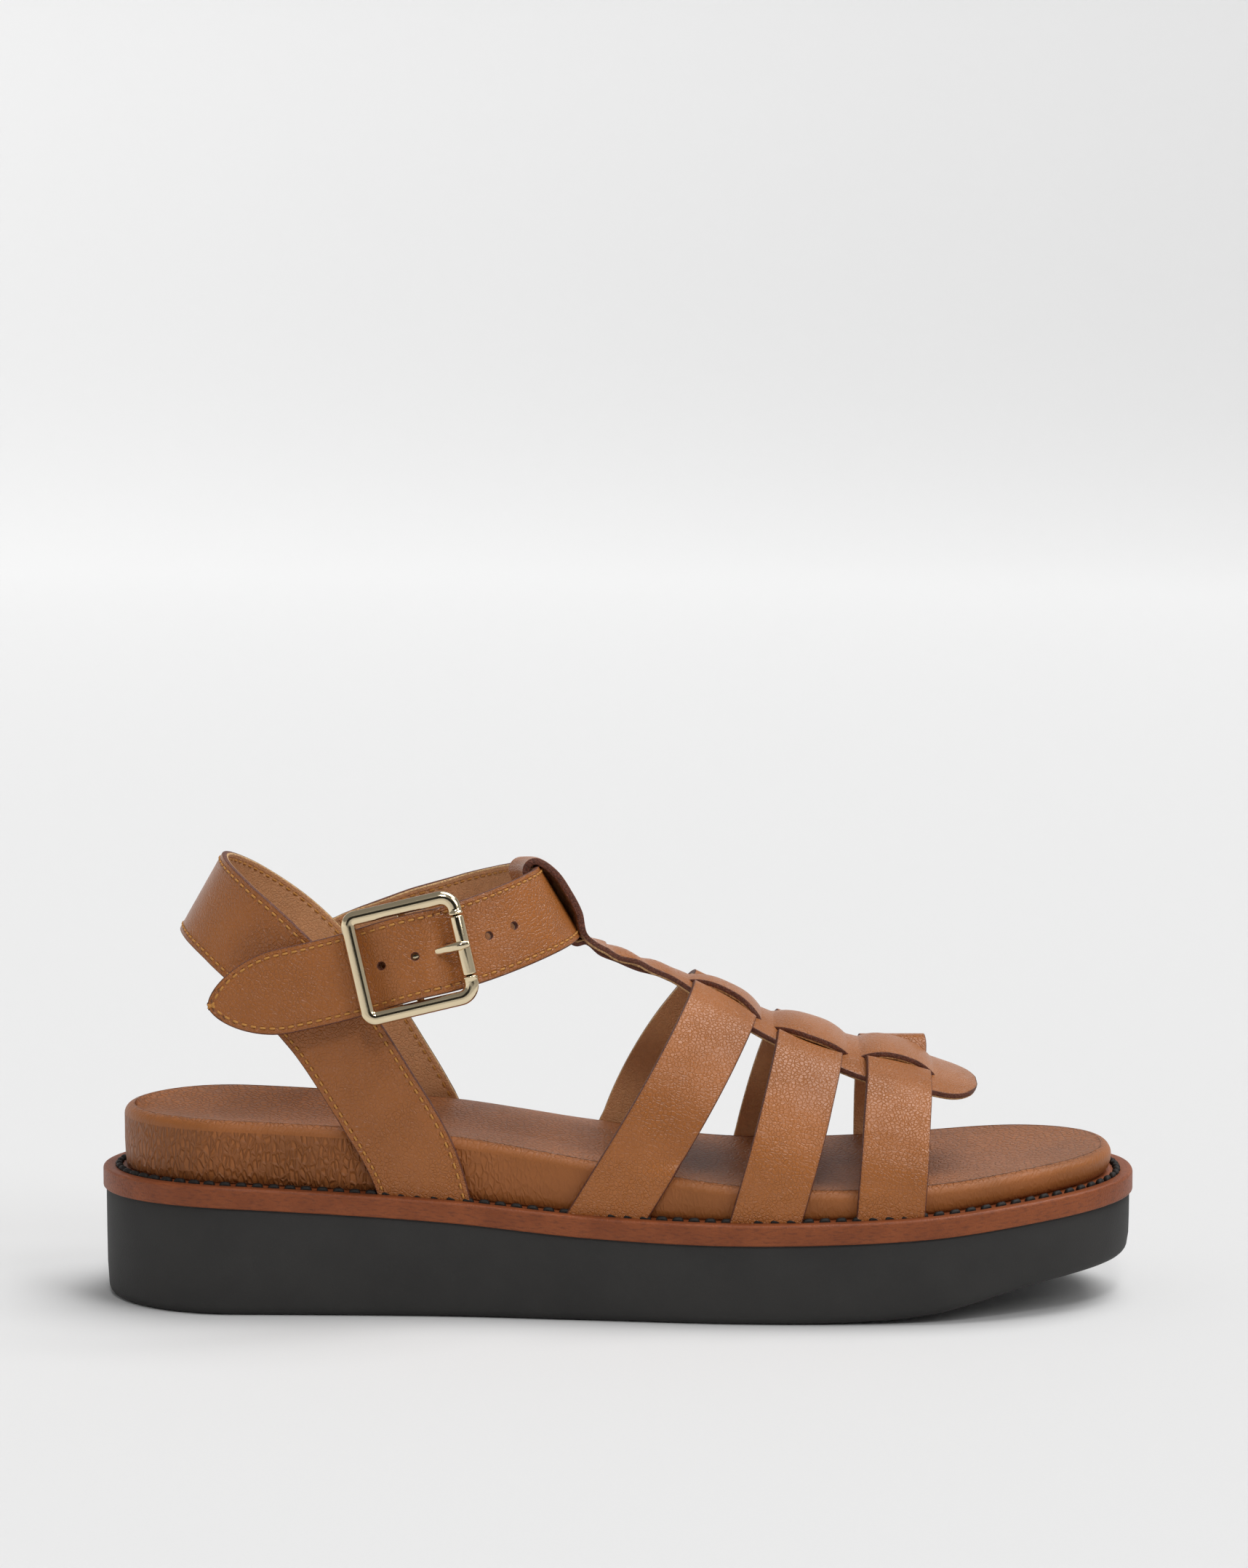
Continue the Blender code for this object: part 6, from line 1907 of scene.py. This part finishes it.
tip = np.linspace(0.0, 1.0, 80) ** 2 * TIP_LENGTH
straight = np.linspace(TIP_LENGTH, ANKLE_LENGTHS[-1] - 2.0 * MM, 500)[1:]
side_at = np.concatenate([tip, straight])
one_side = np.column_stack([side_at, ankle_half(side_at)])
both = np.vstack([one_side[::-1], one_side * np.array([1.0, -1.0])])
seam_path = inset_path(both, STITCH_MARGIN)
seams.append(strap_seam("ankle_seam", ankle_surface, seam_path))
seams.append(strap_seam("ankle_lining_seam", inside(ankle_surface), seam_path))
rows_across = np.linspace(-0.5, 0.5, 60) * (ANKLE_STRAP_WIDTH - 2 * STITCH_MARGIN)
for number, inset in enumerate(SEWN_END_INSETS, 1):
    end_row = np.column_stack([np.full(60, ANKLE_LENGTHS[-1] - inset), rows_across])
    seams.append(strap_seam("sewn_end_seam_%d" % number, ankle_surface, end_row))
    through = LIFT + LEATHER
    seams.append(strap_seam("sewn_end_lining_seam_%d" % number, inside(ankle_surface), end_row, through))
for part in seams:
    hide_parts("upper_quarter")

# %% [markdown]
# ## Welt stitches
# The welt is sewn with a thick waxed thread whose stitches lie nearly end to end in the groove,
# like a row of dark beads. They are the same rods, fatter and a little aslant, along one ring
# of the sole's outline.

# %% Welt stitches
WELT_STITCH_PITCH = 4.1 * MM
WELT_STITCH_LENGTH = 3.3 * MM
WELT_STITCH_RADIUS = 0.78 * MM
WELT_STITCH_LIFT = 0.15 * MM
WELT_STITCH_SLANT = 0.25 * MM
STITCH_RING = outline(FOOTBED_INSET - 1.5 * MM, 600)
STITCH_RING_LENGTHS = lengths_along(STITCH_RING)


def welt_surface(distance, offset):
    """The welt's upper face: distance is along the stitch ring, and offset is not used."""
    plan = read_along(STITCH_RING, STITCH_RING_LENGTHS, np.mod(distance, STITCH_RING_LENGTHS[-1]))
    points = np.concatenate([plan, welt_top(plan[..., :1])], axis=-1)
    return points, np.broadcast_to(np.array([0.0, 0.0, 1.0]), points.shape)


ring_path = np.column_stack([np.linspace(0.0, STITCH_RING_LENGTHS[-1], 1200), np.zeros(1200)])
welt_seam = stitched("welt_seam", welt_surface, ring_path, black_thread, "welt", WELT_STITCH_PITCH,
                     WELT_STITCH_LENGTH, WELT_STITCH_RADIUS, WELT_STITCH_LIFT,
                     slant=WELT_STITCH_SLANT, rings=9)
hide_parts("welt")

# %% [markdown]
# ## Floor
# The photograph is a plain one on white: a pale floor that turns up into a wall. A plane would
# end in a line at the horizon, so the floor is a wide bowl, and its paper is painted lighter with
# its height: painted light, which makes up for the weaker light on the wall. Polished metal shows
# what stands round it, and on plain white it looks flat, so a dark card stands behind the camera,
# out of view, as photographers put one for metal.

# %% Floor
FLAT_TO = 2.4
BEND = 0.8
WALL = 0.5
PAPER_RISE = (0.04, 0.46)
CARD_HALF = 1.1
CARD_AWAY = 2.2
CARD_HEIGHTS = (0.50, 1.50)


def staged(name, points, faces, finish):
    """A mesh object of the stage, which isn't part of the sandal."""
    mesh = bpy.data.meshes.new(name)
    mesh.from_pydata(points, [], faces)
    close_seams(mesh, 1e-5)
    mesh.shade_smooth()
    mesh.materials.append(finish)
    made = bpy.data.objects.new(name, mesh)
    scene.collection.objects.link(made)
    return made


def bowl():
    """A patch: flat to a radius, then a quarter circle up into a low wall."""
    angle = np.linspace(0.0, math.pi / 2, 24)
    radius = np.concatenate([[0.0, 0.5, 1.2], FLAT_TO + BEND * np.sin(angle), [FLAT_TO + BEND]])
    height = np.concatenate([[0.0, 0.0, 0.0], BEND * (1 - np.cos(angle)), [BEND + WALL]])
    turn = np.linspace(0.0, 2 * math.pi, 97)
    points = np.stack([
        radius[:, None] * np.cos(turn), radius[:, None] * np.sin(turn),
        np.broadcast_to(height[:, None], (len(radius), len(turn))),
    ], axis=-1)
    return patch(points, points[..., :2])


paper = Finish("backdrop_paper")
tooth = paper.noise(0.9 * MM, 3.0)
height = paper.add("ShaderNodeSeparateXYZ", {}, {0: paper.coordinates.outputs["Object"]}).outputs[2]
painted_wall_light = Value(paper, height).step(*PAPER_RISE)
white = paper.mix(tooth, (0.67, 0.67, 0.67), (0.69, 0.69, 0.69))
# painted light: the paper is lighter with its height, making up for the weaker light on the wall
paper_colour = paper.mix(painted_wall_light, white, (0.86, 0.86, 0.86))
paper.set(Base_Color=paper_colour, Roughness=0.9, Specular_IOR_Level=0.2)
sheet = bowl()
stage = staged("backdrop", sheet["points"].tolist(), sheet["quads"].tolist(), paper.material)

velvet = Finish("black_velvet")
pile = velvet.noise(2.0 * MM, 2.0)
velvet.set(Base_Color=velvet.mix(pile, (0.010, 0.010, 0.010), (0.020, 0.020, 0.020)), Roughness=0.95)
low, high = CARD_HEIGHTS
corners = [(side * CARD_HALF, -CARD_AWAY, z) for side, z in ((-1, low), (1, low), (1, high), (-1, high))]
card = staged("black_card", corners, [(0, 1, 2, 3)], velvet.material)
print("stage:", stage.name, "and", card.name)

# %% [markdown]
# ## Light
# One broad, strong light from above, from the toe's side and a little behind makes the straps'
# tops pale and gives the sole a soft shadow. A weaker one from the front fills the near side,
# and a narrow one above the camera gives the leather its shine. They are suns, because a sun is
# as strong at the wall as at the shoe, and its angle sets how soft its shadow is.

# %% Light
SUNS = (
    # name, strength, spread, azimuth, elevation
    ("overhead", 2.35, 46.0, 110.0, 68.0),
    ("front", 0.65, 26.0, 48.0, 36.0),
    ("window", 0.62, 10.0, 2.0, 44.0),
)
SKY_STRENGTH = 0.24


def sun(name, strength, spread, azimuth, elevation):
    """A sun that shines from an azimuth (0 is from the camera, 90 from the toe's side) and an
    elevation, and looks spread degrees wide."""
    light = bpy.data.lights.new(name, "SUN")
    light.energy = strength
    light.angle = math.radians(spread)
    lamp = bpy.data.objects.new(name, light)
    lamp.rotation_euler = (math.radians(90 - elevation), 0.0, math.radians(azimuth))
    scene.collection.objects.link(lamp)


world = bpy.data.worlds.new("studio")
world.use_nodes = True
sky = world.node_tree.nodes["Background"].inputs
sky["Color"].default_value = (1.0, 1.0, 1.0, 1.0)
sky["Strength"].default_value = SKY_STRENGTH
scene.world = world
for row in SUNS:
    sun(*row)
scene.view_settings.view_transform = "Standard"
scene.view_settings.look = "None"
